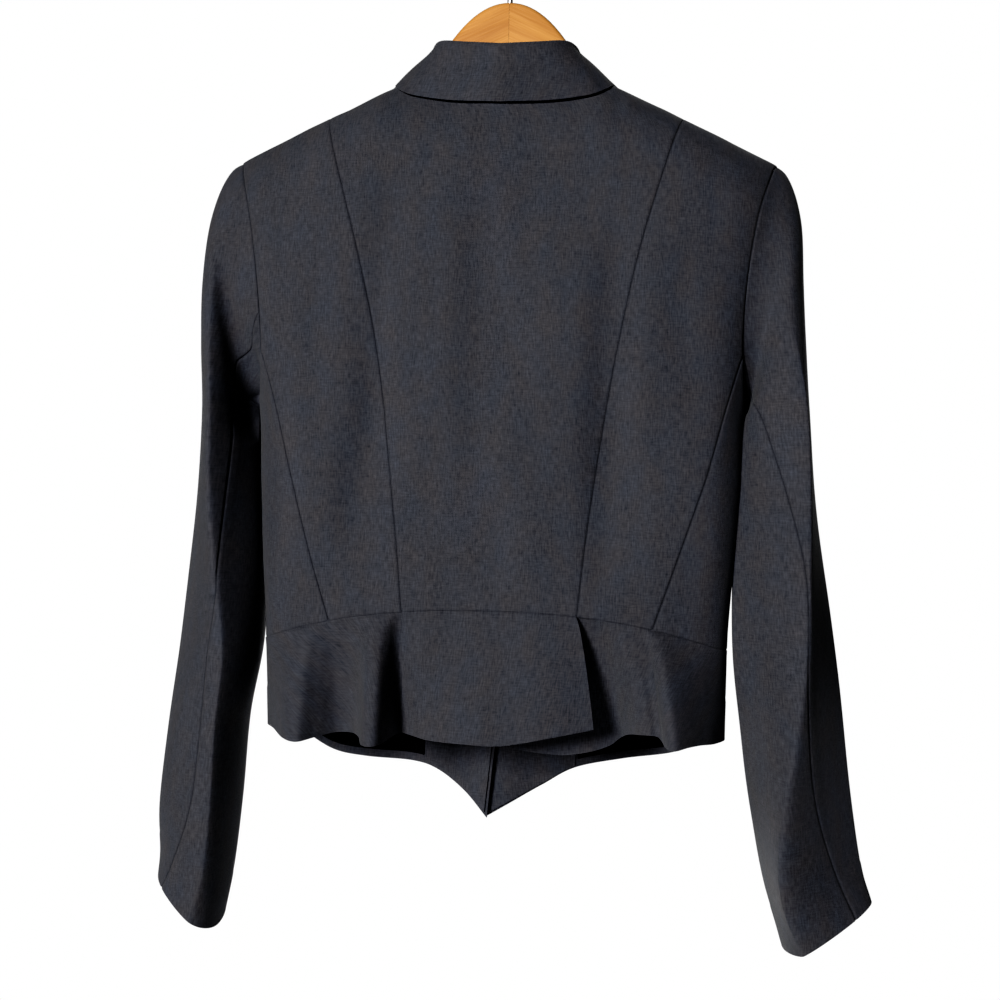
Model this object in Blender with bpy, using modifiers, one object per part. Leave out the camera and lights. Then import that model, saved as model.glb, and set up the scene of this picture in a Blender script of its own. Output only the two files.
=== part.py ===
"""A cropped blazer with a peplum, hung on a wooden hanger.

Metres, +Z up. The origin is the inside crown of the hanger's hook, where a rail carries it. +X is
the wearer's right and +Y the wearer's front, so the back of the jacket faces -Y. Each piece of
cloth is a wall between an outer and an inner skin, lofted through rows that are worked out from
the tables below.
"""

import math
from collections import namedtuple

import bmesh
import bpy
from mathutils import Vector

# Cloth
WALL = 0.0016
SEAM = 0.0003
LAYER = 0.0006
LINING_WALL = 0.0010
SLEEVE_SEAM = 0.0006
SMOOTH_ANGLE = 45

# Rows and columns of the walls
BACK_ROWS = 15
BACK_CROWDING = 1.5
BACK_NECK_ANGLES = (22.5, 45.0, 67.5)
BACK_SHOULDER_COLUMNS = 4
BACK_SIDE_COLUMNS = 8
SIDE_ROWS = 9
SIDE_COLUMNS = 9
SEAM_ROWS = 8
FRONT_COLUMNS = 10
LAPEL_ROWS = 10
LAPEL_COLUMNS = 6
COLLAR_STATIONS = 29
STAND_ROWS = 4
UNDER_COLUMNS = 9
PEPLUM_ROWS = 6
PEPLUM_BACK_COLUMNS = 13
PEPLUM_FRONT_COLUMNS = 15
FACING_COLUMNS = 7
LINING_COLUMNS = 9

# Neck and shoulders
NECK_HALF = 0.072
NECK_LEVEL = -0.1205
NECK_DEPTH = 0.050
NAPE_DROP = 0.0145
SHOULDER_FALL = 0.475
SHOULDER_ROUND = 0.050
TIP_HALF = 0.206
UNDERARM_LEVEL = -0.370

# Sections of the body, from the neck down to the tips of the fronts
BODY_SQUARENESS = 2.5
BodyRow = namedtuple("BodyRow", "level half_width back front")
BODY = (
    BodyRow(-0.115, 0.2060, 0.056, 0.048),
    BodyRow(-0.190, 0.2058, 0.064, 0.054),
    BodyRow(-0.240, 0.2030, 0.071, 0.060),
    BodyRow(-0.300, 0.1930, 0.075, 0.065),
    BodyRow(-0.370, 0.1835, 0.077, 0.067),
    BodyRow(-0.430, 0.1812, 0.075, 0.066),
    BodyRow(-0.490, 0.1785, 0.071, 0.064),
    BodyRow(-0.545, 0.1752, 0.067, 0.062),
    BodyRow(-0.700, 0.1745, 0.074, 0.070),
)

# The armhole, turned from the shoulder tip at 0 degrees to the underarm at 180
ArmholeRow = namedtuple("ArmholeRow", "angle back_x front_x")
ARMHOLE = (
    ArmholeRow(0, 0.2060, 0.2060),
    ArmholeRow(30, 0.1990, 0.1960),
    ArmholeRow(60, 0.1885, 0.1830),
    ArmholeRow(90, 0.1815, 0.1750),
    ArmholeRow(120, 0.1780, 0.1730),
    ArmholeRow(150, 0.1795, 0.1775),
    ArmholeRow(180, 0.1835, 0.1835),
)

# The princess seam of the back, from the shoulder to the waist
PrincessRow = namedtuple("PrincessRow", "level half")
PRINCESS = (
    PrincessRow(-0.150, 0.1340),
    PrincessRow(-0.194, 0.1205),
    PrincessRow(-0.258, 0.1030),
    PrincessRow(-0.328, 0.0893),
    PrincessRow(-0.383, 0.0808),
    PrincessRow(-0.466, 0.0695),
    PrincessRow(-0.530, 0.0630),
)
SIDE_SEAM_ANGLE = 126
ARMHOLE_ANGLES = (0, 9, 20, 33, 48, 64, 82, 103, SIDE_SEAM_ANGLE)
SIDE_ROW_LEVEL = -0.325
SIDE_BACK_TURN = 37.5
SIDE_FRONT_TURN = 126.0
SIDE_SEAM_CURVE = 0.85
SIDE_RADIUS = 0.06
PEPLUM_FRONT_TURN = 118.0

# The waist seam, higher at the middle of the back than at the sides
WAIST_BACK = -0.521
WAIST_SIDE = -0.549
WAIST_FRONT = -0.556
WAIST_CURVE = 2.4

# Fronts: right laps over left, and the roll line runs from the neck to the break
BREAK_LEVEL = -0.490
RIGHT_EDGE = -0.018
LEFT_EDGE = -0.008
LAP = 0.0050
LAP_START = 0.015
LAP_FADE = 0.045
LAPEL_TOP = 0.085
LAPEL_FOOT = 0.93
LAPEL_FOOT_WIDTH = 0.003
LAPEL_CORNER = (0.124, -0.2010)
LAPEL_SWELL = 0.010
LAPEL_LIE = 0.0030

# Collar stations from the middle of the back to the front end: its fold, and the edge of its fall,
# which lies on the back (0), on the shoulder's ridge (0.5) or on the front (1)
CollarRow = namedtuple("CollarRow", "fold_x fold_y fold_z edge_x edge_z lies_on")
COLLAR = (
    CollarRow(0.0000, -0.0480, -0.1060, 0.0000, -0.1510, 0),
    CollarRow(0.0265, -0.0440, -0.1035, 0.0380, -0.1492, 0),
    CollarRow(0.0445, -0.0305, -0.0988, 0.0660, -0.1432, 0),
    CollarRow(0.0520, -0.0140, -0.0972, 0.0815, -0.1345, 0),
    CollarRow(0.0555, 0.0030, -0.0995, 0.0890, -0.1295, 0.5),
    CollarRow(0.0605, 0.0230, -0.1105, 0.0965, -0.1390, 1),
    CollarRow(0.0640, 0.0390, -0.1255, 0.1040, -0.1560, 1),
    CollarRow(0.0635, 0.0500, -0.1430, 0.1060, -0.1760, 1),
)
COLLAR_BACK = 4 / 7
COLLAR_END_LEVEL = -0.1490
COLLAR_INSET = 0.0012
STAND_CURVE = 1.8
COLLAR_LIE = 0.0022
COLLAR_ARCH = 0.0012
COLLAR_FALL_SHARES = (0.35, 0.55, 0.78, 1.0)

# The collar's rolled fold: steps above and outside the top of the stand, and how its wall leans out
RollRow = namedtuple("RollRow", "up out lean")
COLLAR_ROLL = (
    RollRow(0.0019, -0.0006, 0.0),
    RollRow(0.0013, 0.0016, 1.0),
    RollRow(-0.0030, 0.0040, 2.5),
)

# Sleeve rings from the shoulder to the cuff: where the outer and inner edges are, how far the cloth
# reaches back and forward, where across the width its back crest is (-1 inner, 1 outer), and where
# the hind-arm seam runs (0 degrees outer edge, 90 back, 180 inner edge)
SleeveRow = namedtuple("SleeveRow", "ring outer_x outer_z inner_x inner_z back front crest hind")
SLEEVE_LEFT = (
    SleeveRow(1, 0.2140, -0.1935, 0.1858, -0.3712, 0.042, 0.045, 0.50, 132),
    SleeveRow(2, 0.2235, -0.2271, 0.1864, -0.3722, 0.047, 0.051, 0.60, 138),
    SleeveRow(3, 0.2282, -0.2739, 0.1868, -0.3738, 0.052, 0.058, 0.62, 144),
    SleeveRow(4, 0.2282, -0.3207, 0.1868, -0.3770, 0.057, 0.064, 0.60, 148),
    SleeveRow(5, 0.2268, -0.3720, 0.1862, -0.3900, 0.060, 0.068, 0.55, 134),
    SleeveRow(6, 0.2285, -0.4298, 0.1838, -0.4330, 0.062, 0.070, 0.50, 122),
    SleeveRow(7, 0.2337, -0.4923, 0.1822, -0.4930, 0.061, 0.071, 0.45, 112),
    SleeveRow(8, 0.2412, -0.5548, 0.1902, -0.5548, 0.058, 0.071, 0.38, 102),
    SleeveRow(9, 0.2506, -0.6175, 0.1940, -0.6130, 0.053, 0.070, 0.25, 93),
    SleeveRow(10, 0.2566, -0.6801, 0.1980, -0.6775, 0.047, 0.068, 0.10, 88),
    SleeveRow(11, 0.2570, -0.7170, 0.2045, -0.7330, 0.041, 0.066, 0.00, 68),
    SleeveRow(12, 0.2582, -0.7345, 0.2119, -0.7745, 0.038, 0.065, 0.00, 44),
)
SLEEVE_RIGHT = (
    SleeveRow(1, 0.2150, -0.1945, 0.1858, -0.3712, 0.042, 0.045, 0.30, 130),
    SleeveRow(2, 0.2235, -0.2260, 0.1864, -0.3722, 0.047, 0.051, 0.45, 134),
    SleeveRow(3, 0.2258, -0.2710, 0.1868, -0.3738, 0.052, 0.058, 0.60, 138),
    SleeveRow(4, 0.2275, -0.3170, 0.1868, -0.3770, 0.057, 0.064, 0.70, 144),
    SleeveRow(5, 0.2300, -0.3680, 0.1862, -0.3900, 0.060, 0.068, 0.78, 146),
    SleeveRow(6, 0.2352, -0.4250, 0.1826, -0.4330, 0.062, 0.070, 0.78, 122),
    SleeveRow(7, 0.2428, -0.4830, 0.1796, -0.4920, 0.062, 0.071, 0.68, 102),
    SleeveRow(8, 0.2535, -0.5430, 0.1812, -0.5500, 0.060, 0.071, 0.45, 82),
    SleeveRow(9, 0.2625, -0.6020, 0.1880, -0.6090, 0.057, 0.070, -0.05, 66),
    SleeveRow(10, 0.2705, -0.6620, 0.1952, -0.6670, 0.052, 0.068, -0.40, 70),
    SleeveRow(11, 0.2800, -0.7100, 0.2070, -0.7230, 0.045, 0.066, -0.50, 64),
    SleeveRow(12, 0.2874, -0.7350, 0.2221, -0.7715, 0.040, 0.065, -0.30, 54),
)
SLEEVE_STATIONS = (0, 0.4, 1, 1.5, 2, 3, 4, 5, 5.5, 6, 6.5, 7, 7.5, 8, 8.5, 9, 10, 10.5, 11, 11.5, 12)
FORE_SEAM = 360 - SIDE_SEAM_ANGLE
FRONT_CREST = -0.15

# Peplum: where each fold leaves the waist seam (degrees round the body from the middle of the back),
# where it ends at the hem, and how far its top is tucked behind the piece beside it
FoldRow = namedtuple("FoldRow", "turn hem_x hem_y hem_z tuck")
PEPLUM_LEFT = (
    FoldRow(16.6, 0.0547, -0.0642, -0.6117, 0.0),
    FoldRow(17.4, 0.0612, -0.0660, -0.6124, 0.0),
    FoldRow(18.6, 0.0664, -0.0755, -0.6138, 0.0),
    FoldRow(20.2, 0.0695, -0.0890, -0.6155, 0.0),
    FoldRow(22.4, 0.0765, -0.0960, -0.6160, 0.0),
    FoldRow(25.0, 0.0857, -0.0905, -0.6160, 0.0),
    FoldRow(28.0, 0.0960, -0.0770, -0.6150, 0.0),
    FoldRow(32.0, 0.1080, -0.0680, -0.6150, 0.0),
    FoldRow(38.5, 0.1253, -0.0630, -0.6175, 0.0),
    FoldRow(44.0, 0.1366, -0.0655, -0.6194, 0.0),
    FoldRow(51.0, 0.1490, -0.0575, -0.6180, 0.0),
    FoldRow(62.0, 0.1635, -0.0350, -0.6155, 0.0),
    FoldRow(78.0, 0.1738, -0.0080, -0.6160, 0.0),
    FoldRow(98.0, 0.1725, 0.0220, -0.6195, 0.0),
    FoldRow(PEPLUM_FRONT_TURN, 0.1610, 0.0460, -0.6260, 0.0),
)
PEPLUM_RIGHT = (
    FoldRow(16.6, 0.0100, -0.0510, -0.6204, 0.0024),
    FoldRow(17.2, 0.0320, -0.0485, -0.6243, 0.0024),
    FoldRow(17.9, 0.0540, -0.0470, -0.6259, 0.0023),
    FoldRow(18.8, 0.0730, -0.0475, -0.6229, 0.0021),
    FoldRow(20.2, 0.0890, -0.0520, -0.6175, 0.0015),
    FoldRow(23.0, 0.1000, -0.0620, -0.6085, 0.0006),
    FoldRow(28.0, 0.1145, -0.0695, -0.6056, 0.0),
    FoldRow(32.0, 0.1245, -0.0715, -0.6070, 0.0),
    FoldRow(34.5, 0.1292, -0.0795, -0.6110, 0.0),
    FoldRow(37.0, 0.1340, -0.0860, -0.6135, 0.0),
    FoldRow(41.0, 0.1419, -0.0820, -0.6127, 0.0),
    FoldRow(48.0, 0.1510, -0.0685, -0.6120, 0.0),
    FoldRow(60.0, 0.1645, -0.0430, -0.6150, 0.0),
    FoldRow(78.0, 0.1745, -0.0100, -0.6165, 0.0),
    FoldRow(98.0, 0.1738, 0.0220, -0.6195, 0.0),
    FoldRow(PEPLUM_FRONT_TURN, 0.1610, 0.0460, -0.6260, 0.0),
)
MiddleRow = namedtuple("MiddleRow", "waist_x hem_x hem_y hem_z")
PEPLUM_BACK = (
    MiddleRow(-0.0634, -0.0543, -0.0640, -0.6117),
    MiddleRow(-0.0520, -0.0455, -0.0700, -0.6130),
    MiddleRow(-0.0390, -0.0350, -0.0755, -0.6150),
    MiddleRow(-0.0150, -0.0110, -0.0820, -0.6152),
    MiddleRow(0.0120, 0.0140, -0.0830, -0.6149),
    MiddleRow(0.0420, 0.0525, -0.0800, -0.6075),
    MiddleRow(0.0634, 0.0778, -0.0745, -0.6024),
)
PEPLUM_FRONT_LEFT = (
    MiddleRow(0.1580, 0.1610, 0.0460, -0.6260),
    MiddleRow(0.1330, 0.1352, 0.0570, -0.6440),
    MiddleRow(0.1080, 0.1086, 0.0640, -0.6500),
    MiddleRow(0.0720, 0.0702, 0.0690, -0.6530),
    MiddleRow(0.0500, 0.0485, 0.0705, -0.6600),
    MiddleRow(0.0230, 0.0260, 0.0715, -0.6765),
    MiddleRow(LEFT_EDGE, 0.0075, 0.0720, -0.6975),
)
PEPLUM_FRONT_RIGHT = (
    MiddleRow(0.1580, 0.1610, 0.0460, -0.6260),
    MiddleRow(0.1330, 0.1383, 0.0565, -0.6375),
    MiddleRow(0.1000, 0.0994, 0.0650, -0.6453),
    MiddleRow(0.0640, 0.0604, 0.0700, -0.6548),
    MiddleRow(0.0380, 0.0346, 0.0715, -0.6698),
    MiddleRow(0.0100, 0.0120, 0.0720, -0.6840),
    MiddleRow(RIGHT_EDGE, -0.0080, 0.0720, -0.6960),
)
PEPLUM_FRONT_START = 0.004
FACING_START = 0.60
FACING_END = 0.985
FACING_TOP = 0.10
LINING_START = 0.03
LINING_GAP = 0.01
LINING_HEM = 0.93

# Button on the lap, hanger and hook
BUTTON_RADIUS = 0.0100
BUTTON_DEPTH = 0.0030
BUTTON_X = -0.005
BUTTON_LEVEL = -0.505
ARCH_TOP = -0.0600
ARCH_SCALE = 0.0462
ARCH_POWER = 1.7
ARCH_HALF = 0.044
ARCH_TUCK = 0.014
ARM_REACH = 0.184
ARM_CLEAR = 0.0042
ARM_HALF_DEPTH = 0.006
ARM_EDGE = 0.0015
ARM_EDGE_ANGLE = 50
ARM_MIDDLE_LOW = -0.110
ARM_END_HEIGHT = 0.020
ARM_NOSE = 0.006
ARM_LOW_CURVE = 1.15
HOOK_WIRE = 0.002
HOOK_INSIDE = 0.020
HOOK_BEND = 0.006
HOOK_BEND_LEVEL = -0.048
HOOK_START = -40
HOOK_MOUTH = 205

COLOURS = {
    "wool": ((0.040, 0.040, 0.050), 0.85, 0.0),
    "lining": ((0.006, 0.007, 0.007), 0.45, 0.0),
    "wood": ((0.660, 0.290, 0.075), 0.45, 0.0),
    "steel": ((0.600, 0.600, 0.600), 0.30, 1.0),
    "horn": ((0.020, 0.019, 0.020), 0.40, 0.0),
}


def between(start, end, share):
    """Blend two values or vectors."""
    return start + (end - start) * share


def clamp(value, low=0.0, high=1.0):
    """Hold a value inside a range."""
    return max(low, min(high, value))


def smooth(share):
    """Ease a share in and out."""
    share = clamp(share)
    return share * share * (3.0 - 2.0 * share)


def curve_through(values, keys, at):
    """A smooth curve through values at rising keys."""
    index = 0
    while index < len(keys) - 2 and at > keys[index + 1]:
        index += 1

    def tangent(i):
        low, high = max(i - 1, 0), min(i + 1, len(keys) - 1)
        return (values[high] - values[low]) / (keys[high] - keys[low])

    span = keys[index + 1] - keys[index]
    t = clamp((at - keys[index]) / span)
    rise = values[index] * (2 * t**3 - 3 * t**2 + 1) + values[index + 1] * (3 * t**2 - 2 * t**3)
    lean = tangent(index) * (t**3 - 2 * t**2 + t) + tangent(index + 1) * (t**3 - t**2)
    return rise + lean * span


def look_up(table, at):
    """Every column of a table, smoothly between its rows, at one value of its first column."""
    rows = table if table[0][0] < table[-1][0] else table[::-1]
    keys = [row[0] for row in rows]
    return type(rows[0])(*(curve_through(column, keys, at) for column in zip(*rows)))


def row_at(table, share):
    """Every column of a table at a share of the way through its rows."""
    keys = [i / (len(table) - 1) for i in range(len(table))]
    return type(table[0])(*(curve_through(column, keys, share) for column in zip(*table)))


def body_round(share):
    """Depth of the body's rounded section at a share of its half width."""
    return (1.0 - min(abs(share), 1.0) ** BODY_SQUARENESS) ** (1.0 / BODY_SQUARENESS)


def shoulder_level(x):
    """Level of the shoulder's ridge."""
    return NECK_LEVEL - SHOULDER_FALL * max(abs(x) - NECK_HALF, 0.0)


def neck_share(x):
    """How far the back neck's curve stands off at x, 1 at the nape and 0 at the shoulder."""
    return math.sqrt(max(0.0, 1.0 - (x / NECK_HALF) ** 2))


def back_point(x, z):
    """The outer skin of the back."""
    row = look_up(BODY, z)
    full = row.back * body_round(x / row.half_width)
    neck = neck_share(x)
    fall = clamp((shoulder_level(x) - NAPE_DROP * neck - z) / SHOULDER_ROUND)
    turned = between(math.sqrt(1.0 - (1.0 - fall) ** 2), math.sin(fall * math.pi / 2), neck)
    start = NECK_DEPTH * neck
    return Vector((x, -max(between(start, full, turned), SEAM / 2), z))


def front_point(x, z):
    """The outer skin of the fronts, before one laps over the other."""
    row = look_up(BODY, z)
    full = row.front * body_round(x / row.half_width)
    fall = clamp((shoulder_level(x) - z) / SHOULDER_ROUND)
    return Vector((x, max(full * math.sqrt(1.0 - (1.0 - fall) ** 2), SEAM / 2), z))


def inward(surface, x, z):
    """The direction into the jacket from a point of the back or front."""
    step = 0.0008
    top = shoulder_level(x)
    across = surface(x + step, z) - surface(x - step, z)
    down = surface(x, min(z + step, top)) - surface(x, z - step)
    normal = across.cross(down).normalized()
    outside = surface(x, z).y
    return -normal if normal.y * outside > 0 else normal


def ridge_inward(x):
    """The direction straight down into the shoulder from its ridge."""
    lean = math.copysign(SHOULDER_FALL, x)
    return Vector((-lean, 0.0, -1.0)).normalized()


def side_point(turn, z):
    """The outer skin at a turn round the body, 0 at the middle of the back and 180 in front."""
    row = look_up(BODY, z)
    power = 2.0 / BODY_SQUARENESS
    sine, cosine = math.sin(math.radians(turn)), math.cos(math.radians(turn))
    depth = row.back if cosine > 0 else row.front
    return Vector((
        math.copysign(row.half_width * abs(sine) ** power, sine),
        -math.copysign(depth * abs(cosine) ** power, cosine),
        z,
    ))


def side_inward(turn, z):
    """The direction into the jacket from a point at a turn round the body."""
    around = side_point(turn + 0.8, z) - side_point(turn - 0.8, z)
    down = side_point(turn, z - 0.001) - side_point(turn, z + 0.001)
    normal = around.cross(down).normalized()
    return -normal if normal.dot(side_point(turn, z).xy.to_3d()) > 0 else normal


def turn_at(x, z):
    """The turn round the back half of the body at which it is x wide."""
    share = clamp(abs(x) / look_up(BODY, z).half_width)
    return math.degrees(math.asin(share ** (BODY_SQUARENESS / 2)))


def waist_level(share, front=False):
    """Level of the waist seam at a share of the half width."""
    if front:
        return between(WAIST_FRONT, WAIST_SIDE, share**2)
    return between(WAIST_BACK, WAIST_SIDE, abs(share) ** WAIST_CURVE)


def waist_share(turn):
    """Share of the half width at a turn round the waist."""
    return abs(math.sin(math.radians(turn))) ** (2.0 / BODY_SQUARENESS)


def waist_point(turn):
    """A point of the waist seam at a turn round the body."""
    return side_point(turn, waist_level(waist_share(turn), turn > 90))


def armhole_level(angle):
    """Level of the armhole at an angle from the shoulder tip."""
    share = (1.0 - math.cos(math.radians(angle))) / 2
    return between(shoulder_level(TIP_HALF), UNDERARM_LEVEL, share)


def armhole_point(angle):
    """A point of the right armhole, 0 to 180 degrees down the back and 180 to 360 up the front."""
    front = angle > 180
    half_turn = 360 - angle if front else angle
    row = look_up(ARMHOLE, half_turn)
    level = armhole_level(half_turn)
    return front_point(row.front_x, level) if front else back_point(row.back_x, level)


def princess_half(z):
    """Half the distance between the princess seams at a level."""
    return look_up(PRINCESS, z).half


def lap_lift(x):
    """How far the right front is lifted over the left one."""
    return LAP * (1.0 - smooth((x - LAP_START) / LAP_FADE))


def mirrored(rows, side):
    """Rows of points or directions on the right side, or mirrored to the left."""
    return [[Vector((side * p.x, p.y, p.z)) for p in row] for row in rows]


def material(kind, name):
    """A plain material in one of the part's colours."""
    colour, roughness, metallic = COLOURS[kind]
    made = bpy.data.materials.new(name)
    made.use_nodes = True
    shader = made.node_tree.nodes["Principled BSDF"]
    shader.inputs["Base Color"].default_value = (*colour, 1.0)
    shader.inputs["Roughness"].default_value = roughness
    shader.inputs["Metallic"].default_value = metallic
    return made


def finish(piece, kind):
    """Put a piece in the jacket's collection with its material."""
    bpy.data.collections["cropped_blazer"].objects.link(piece)
    piece.data.materials.append(material(kind, f"{piece.name}_{kind}"))


def wall(name, kind, outer, directions, thickness=WALL):
    """Loft a wall of cloth between rows of outer points and the same points moved inward."""
    mesh = bmesh.new()
    skins = []
    for depth in (0.0, thickness):
        skins.append([
            [mesh.verts.new(p + d * depth) for p, d in zip(points, ways)]
            for points, ways in zip(outer, directions)
        ])
    last_row, last_column = len(outer) - 1, len(outer[0]) - 1
    for skin in skins:
        for upper, lower in zip(skin, skin[1:]):
            for i in range(last_column):
                mesh.faces.new((upper[i], upper[i + 1], lower[i + 1], lower[i]))
    rim = [(0, i) for i in range(last_column)]
    rim += [(j, last_column) for j in range(last_row)]
    rim += [(last_row, i) for i in range(last_column, 0, -1)]
    rim += [(j, 0) for j in range(last_row, 0, -1)]
    for (j, i), (k, m) in zip(rim, rim[1:] + rim[:1]):
        mesh.faces.new((skins[0][j][i], skins[0][k][m], skins[1][k][m], skins[1][j][i]))
    bmesh.ops.recalc_face_normals(mesh, faces=mesh.faces)
    data = bpy.data.meshes.new(name)
    mesh.to_mesh(data)
    mesh.free()
    piece = bpy.data.objects.new(name, data)
    finish(piece, kind)
    data.shade_smooth()
    data.set_sharp_from_angle(angle=math.radians(SMOOTH_ANGLE))
    return piece


def fold_inward(rows):
    """Directions into a folded wall, whose rows run from the back round the right side."""
    last_row, last_column = len(rows) - 1, len(rows[0]) - 1
    directions = []
    for j, row in enumerate(rows):
        ways = []
        for i in range(len(row)):
            across = row[min(i + 1, last_column)] - row[max(i - 1, 0)]
            down = rows[min(j + 1, last_row)][i] - rows[max(j - 1, 0)][i]
            ways.append(across.cross(down).normalized())
        directions.append(ways)
    return directions


def grid_inward(rows, outside):
    """Directions into a wall whose rows run either way, with outside(point) pointing out of it."""
    directions = []
    for row, ways in zip(rows, fold_inward(rows)):
        directions.append([-w if w.dot(outside(p)) > 0 else w for p, w in zip(row, ways)])
    return directions


def spaced(start, end, count):
    """Evenly spaced values from start to end."""
    return [between(start, end, i / (count - 1)) for i in range(count)]


def panel(surface, left, right, columns, front=False):
    """Points and directions of a panel ruled between two edges of (x, level) pairs."""
    half_width = look_up(BODY, WAIST_BACK).half_width
    outer, directions = [], []
    for j, (a, b) in enumerate(zip(left, right)):
        inset = SEAM / 2 / max(abs(b[0] - a[0]), SEAM)
        low = (j / (len(left) - 1)) ** 4
        points, ways = [], []
        for u in spaced(inset, 1.0 - inset, columns):
            x = between(a[0], b[0], u)
            z = between(a[1], b[1], u)
            hem_x = between(left[-1][0], right[-1][0], u)
            hem_z = between(left[-1][1], right[-1][1], u)
            z += low * (waist_level(hem_x / half_width, front) + SEAM / 2 - hem_z)
            points.append(surface(x, z))
            flat = j == 0 and abs(x) >= NECK_HALF
            ways.append(ridge_inward(x) if flat else inward(surface, x, z))
        outer.append(points)
        directions.append(ways)
    return outer, directions


def back_center():
    """The middle back panel, from the neck and shoulders to the waist seam."""
    shoulder = spaced(princess_half(PRINCESS[0].level), NECK_HALF, BACK_SHOULDER_COLUMNS)
    neck = [NECK_HALF * math.cos(math.radians(angle)) for angle in BACK_NECK_ANGLES] + [0.0]
    right = shoulder + neck
    across = [-x for x in right] + right[-2::-1]
    width = across[-1]
    outer, directions = [], []
    for j, down in enumerate(spaced(0.0, 1.0, BACK_ROWS)):
        share = down**BACK_CROWDING
        points, ways = [], []
        for top_x in across:
            u = clamp(top_x / width, -1.0, 1.0)
            top = shoulder_level(top_x) - NAPE_DROP * neck_share(top_x)
            waist_x = u * princess_half(WAIST_BACK)
            bottom = waist_level(waist_x / look_up(BODY, WAIST_BACK).half_width) + SEAM / 2
            z = between(top, bottom, share)
            edge = princess_half(between(shoulder_level(width), bottom, share))
            x = u * (edge - SEAM / 2)
            points.append(back_point(x, min(z, shoulder_level(x) - NAPE_DROP * neck_share(x))))
            flat = j == 0 and abs(top_x) >= NECK_HALF
            ways.append(ridge_inward(top_x) if flat else inward(back_point, x, z))
        outer.append(points)
        directions.append(ways)
    wall("back_center", "wool", outer, directions)


def side_seam(share, front=False):
    """The turn and level of the side-back or side-front seam, from the armhole to the waist."""
    row = look_up(ARMHOLE, SIDE_SEAM_ANGLE)
    level = armhole_level(SIDE_SEAM_ANGLE)
    start = turn_at(row.front_x if front else row.back_x, level)
    start = 180 - start if front else start
    end = SIDE_FRONT_TURN if front else SIDE_BACK_TURN
    turn = between(start, end, share**SIDE_SEAM_CURVE)
    return turn, between(level, waist_level(waist_share(end), front) + SEAM / 2, share)


def armhole_edge(front=False):
    """The (x, level) pairs down an armhole and the seam below it, from the shoulder to the waist."""
    pairs = []
    for angle in ARMHOLE_ANGLES:
        row = look_up(ARMHOLE, angle)
        pairs.append((row.front_x if front else row.back_x, armhole_level(angle)))
    for share in spaced(0.0, 1.0, SEAM_ROWS)[1:]:
        turn, level = side_seam(share, front)
        pairs.append((side_point(turn, level).x, level))
    return pairs


def inner_levels(top, bottom):
    """Levels of an inner edge that face the rows of the armhole edge."""
    whole = 1.0 - math.cos(math.radians(SIDE_SEAM_ANGLE))
    levels = []
    for angle in ARMHOLE_ANGLES:
        share = (1.0 - math.cos(math.radians(angle))) / whole
        levels.append(between(top, SIDE_ROW_LEVEL, share))
    return levels + spaced(SIDE_ROW_LEVEL, bottom, SEAM_ROWS)[1:]


def back_sides():
    """The panels between the princess seams and the armholes."""
    bottom = waist_level(princess_half(WAIST_BACK) / look_up(BODY, WAIST_BACK).half_width)
    levels = inner_levels(PRINCESS[0].level, bottom + SEAM / 2)
    princess = [(princess_half(z), z) for z in levels]
    princess[0] = (princess[0][0], shoulder_level(princess[0][0]))
    outer, directions = panel(back_point, princess, armhole_edge(), BACK_SIDE_COLUMNS)
    for side, word in ((1, "right"), (-1, "left")):
        wall(f"back_side_{word}", "wool", mirrored(outer, side), mirrored(directions, side))


def sides():
    """The panels under the arms."""
    angles = spaced(SIDE_SEAM_ANGLE, FORE_SEAM, SIDE_COLUMNS)
    half_seam = math.degrees(SEAM / 2 / SIDE_RADIUS)
    first, last = side_seam(0.0)[0], side_seam(0.0, True)[0]
    outer, directions = [], []
    for share in spaced(0.0, 1.0, SIDE_ROWS):
        points, ways = [], []
        for i, angle in enumerate(angles):
            top = armhole_point(angle)
            half = turn_at(top.x, top.z)
            start = 180 - half if angle > 180 else half
            across = (start - first) / (last - first)
            end = between(SIDE_BACK_TURN, SIDE_FRONT_TURN, across)
            bottom = waist_level(waist_share(end), end > 90) + SEAM / 2
            z = between(top.z - SEAM / 2, bottom, share)
            turn = between(start, end, share**SIDE_SEAM_CURVE)
            turn += half_seam * ((i == 0) - (i == len(angles) - 1))
            points.append(side_point(turn, z))
            ways.append(side_inward(turn, z))
        outer.append(points)
        directions.append(ways)
    for side, word in ((1, "right"), (-1, "left")):
        wall(f"side_{word}", "wool", mirrored(outer, side), mirrored(directions, side))


def front_surface(lapped):
    """The skin of one front: the right one is lifted where it laps over the left one."""
    def surface(x, z):
        point = front_point(x, z)
        fade = smooth((shoulder_level(x) - z) / SHOULDER_ROUND)
        point.y += lap_lift(x) * fade if lapped else 0.0
        return point
    return surface


def roll_x(z, edge):
    """Where the front's free edge is: along the roll line to the break, then straight down."""
    share = clamp((z - NECK_LEVEL) / (BREAK_LEVEL - NECK_LEVEL))
    return between(NECK_HALF, edge, share)


def fronts():
    """The two fronts, from the shoulder to the waist seam, and the lapels folded back on them."""
    for side, word, edge in ((1, "right", RIGHT_EDGE), (-1, "left", LEFT_EDGE)):
        surface = front_surface(side > 0)
        levels = inner_levels(NECK_LEVEL, WAIST_FRONT + SEAM / 2)
        free = [(roll_x(z, edge), z) for z in levels]
        outer, directions = panel(surface, free, armhole_edge(True), FRONT_COLUMNS, True)
        wall(f"front_{word}", "wool", mirrored(outer, side), mirrored(directions, side))
        lapel(word, side, surface, edge)


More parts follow.
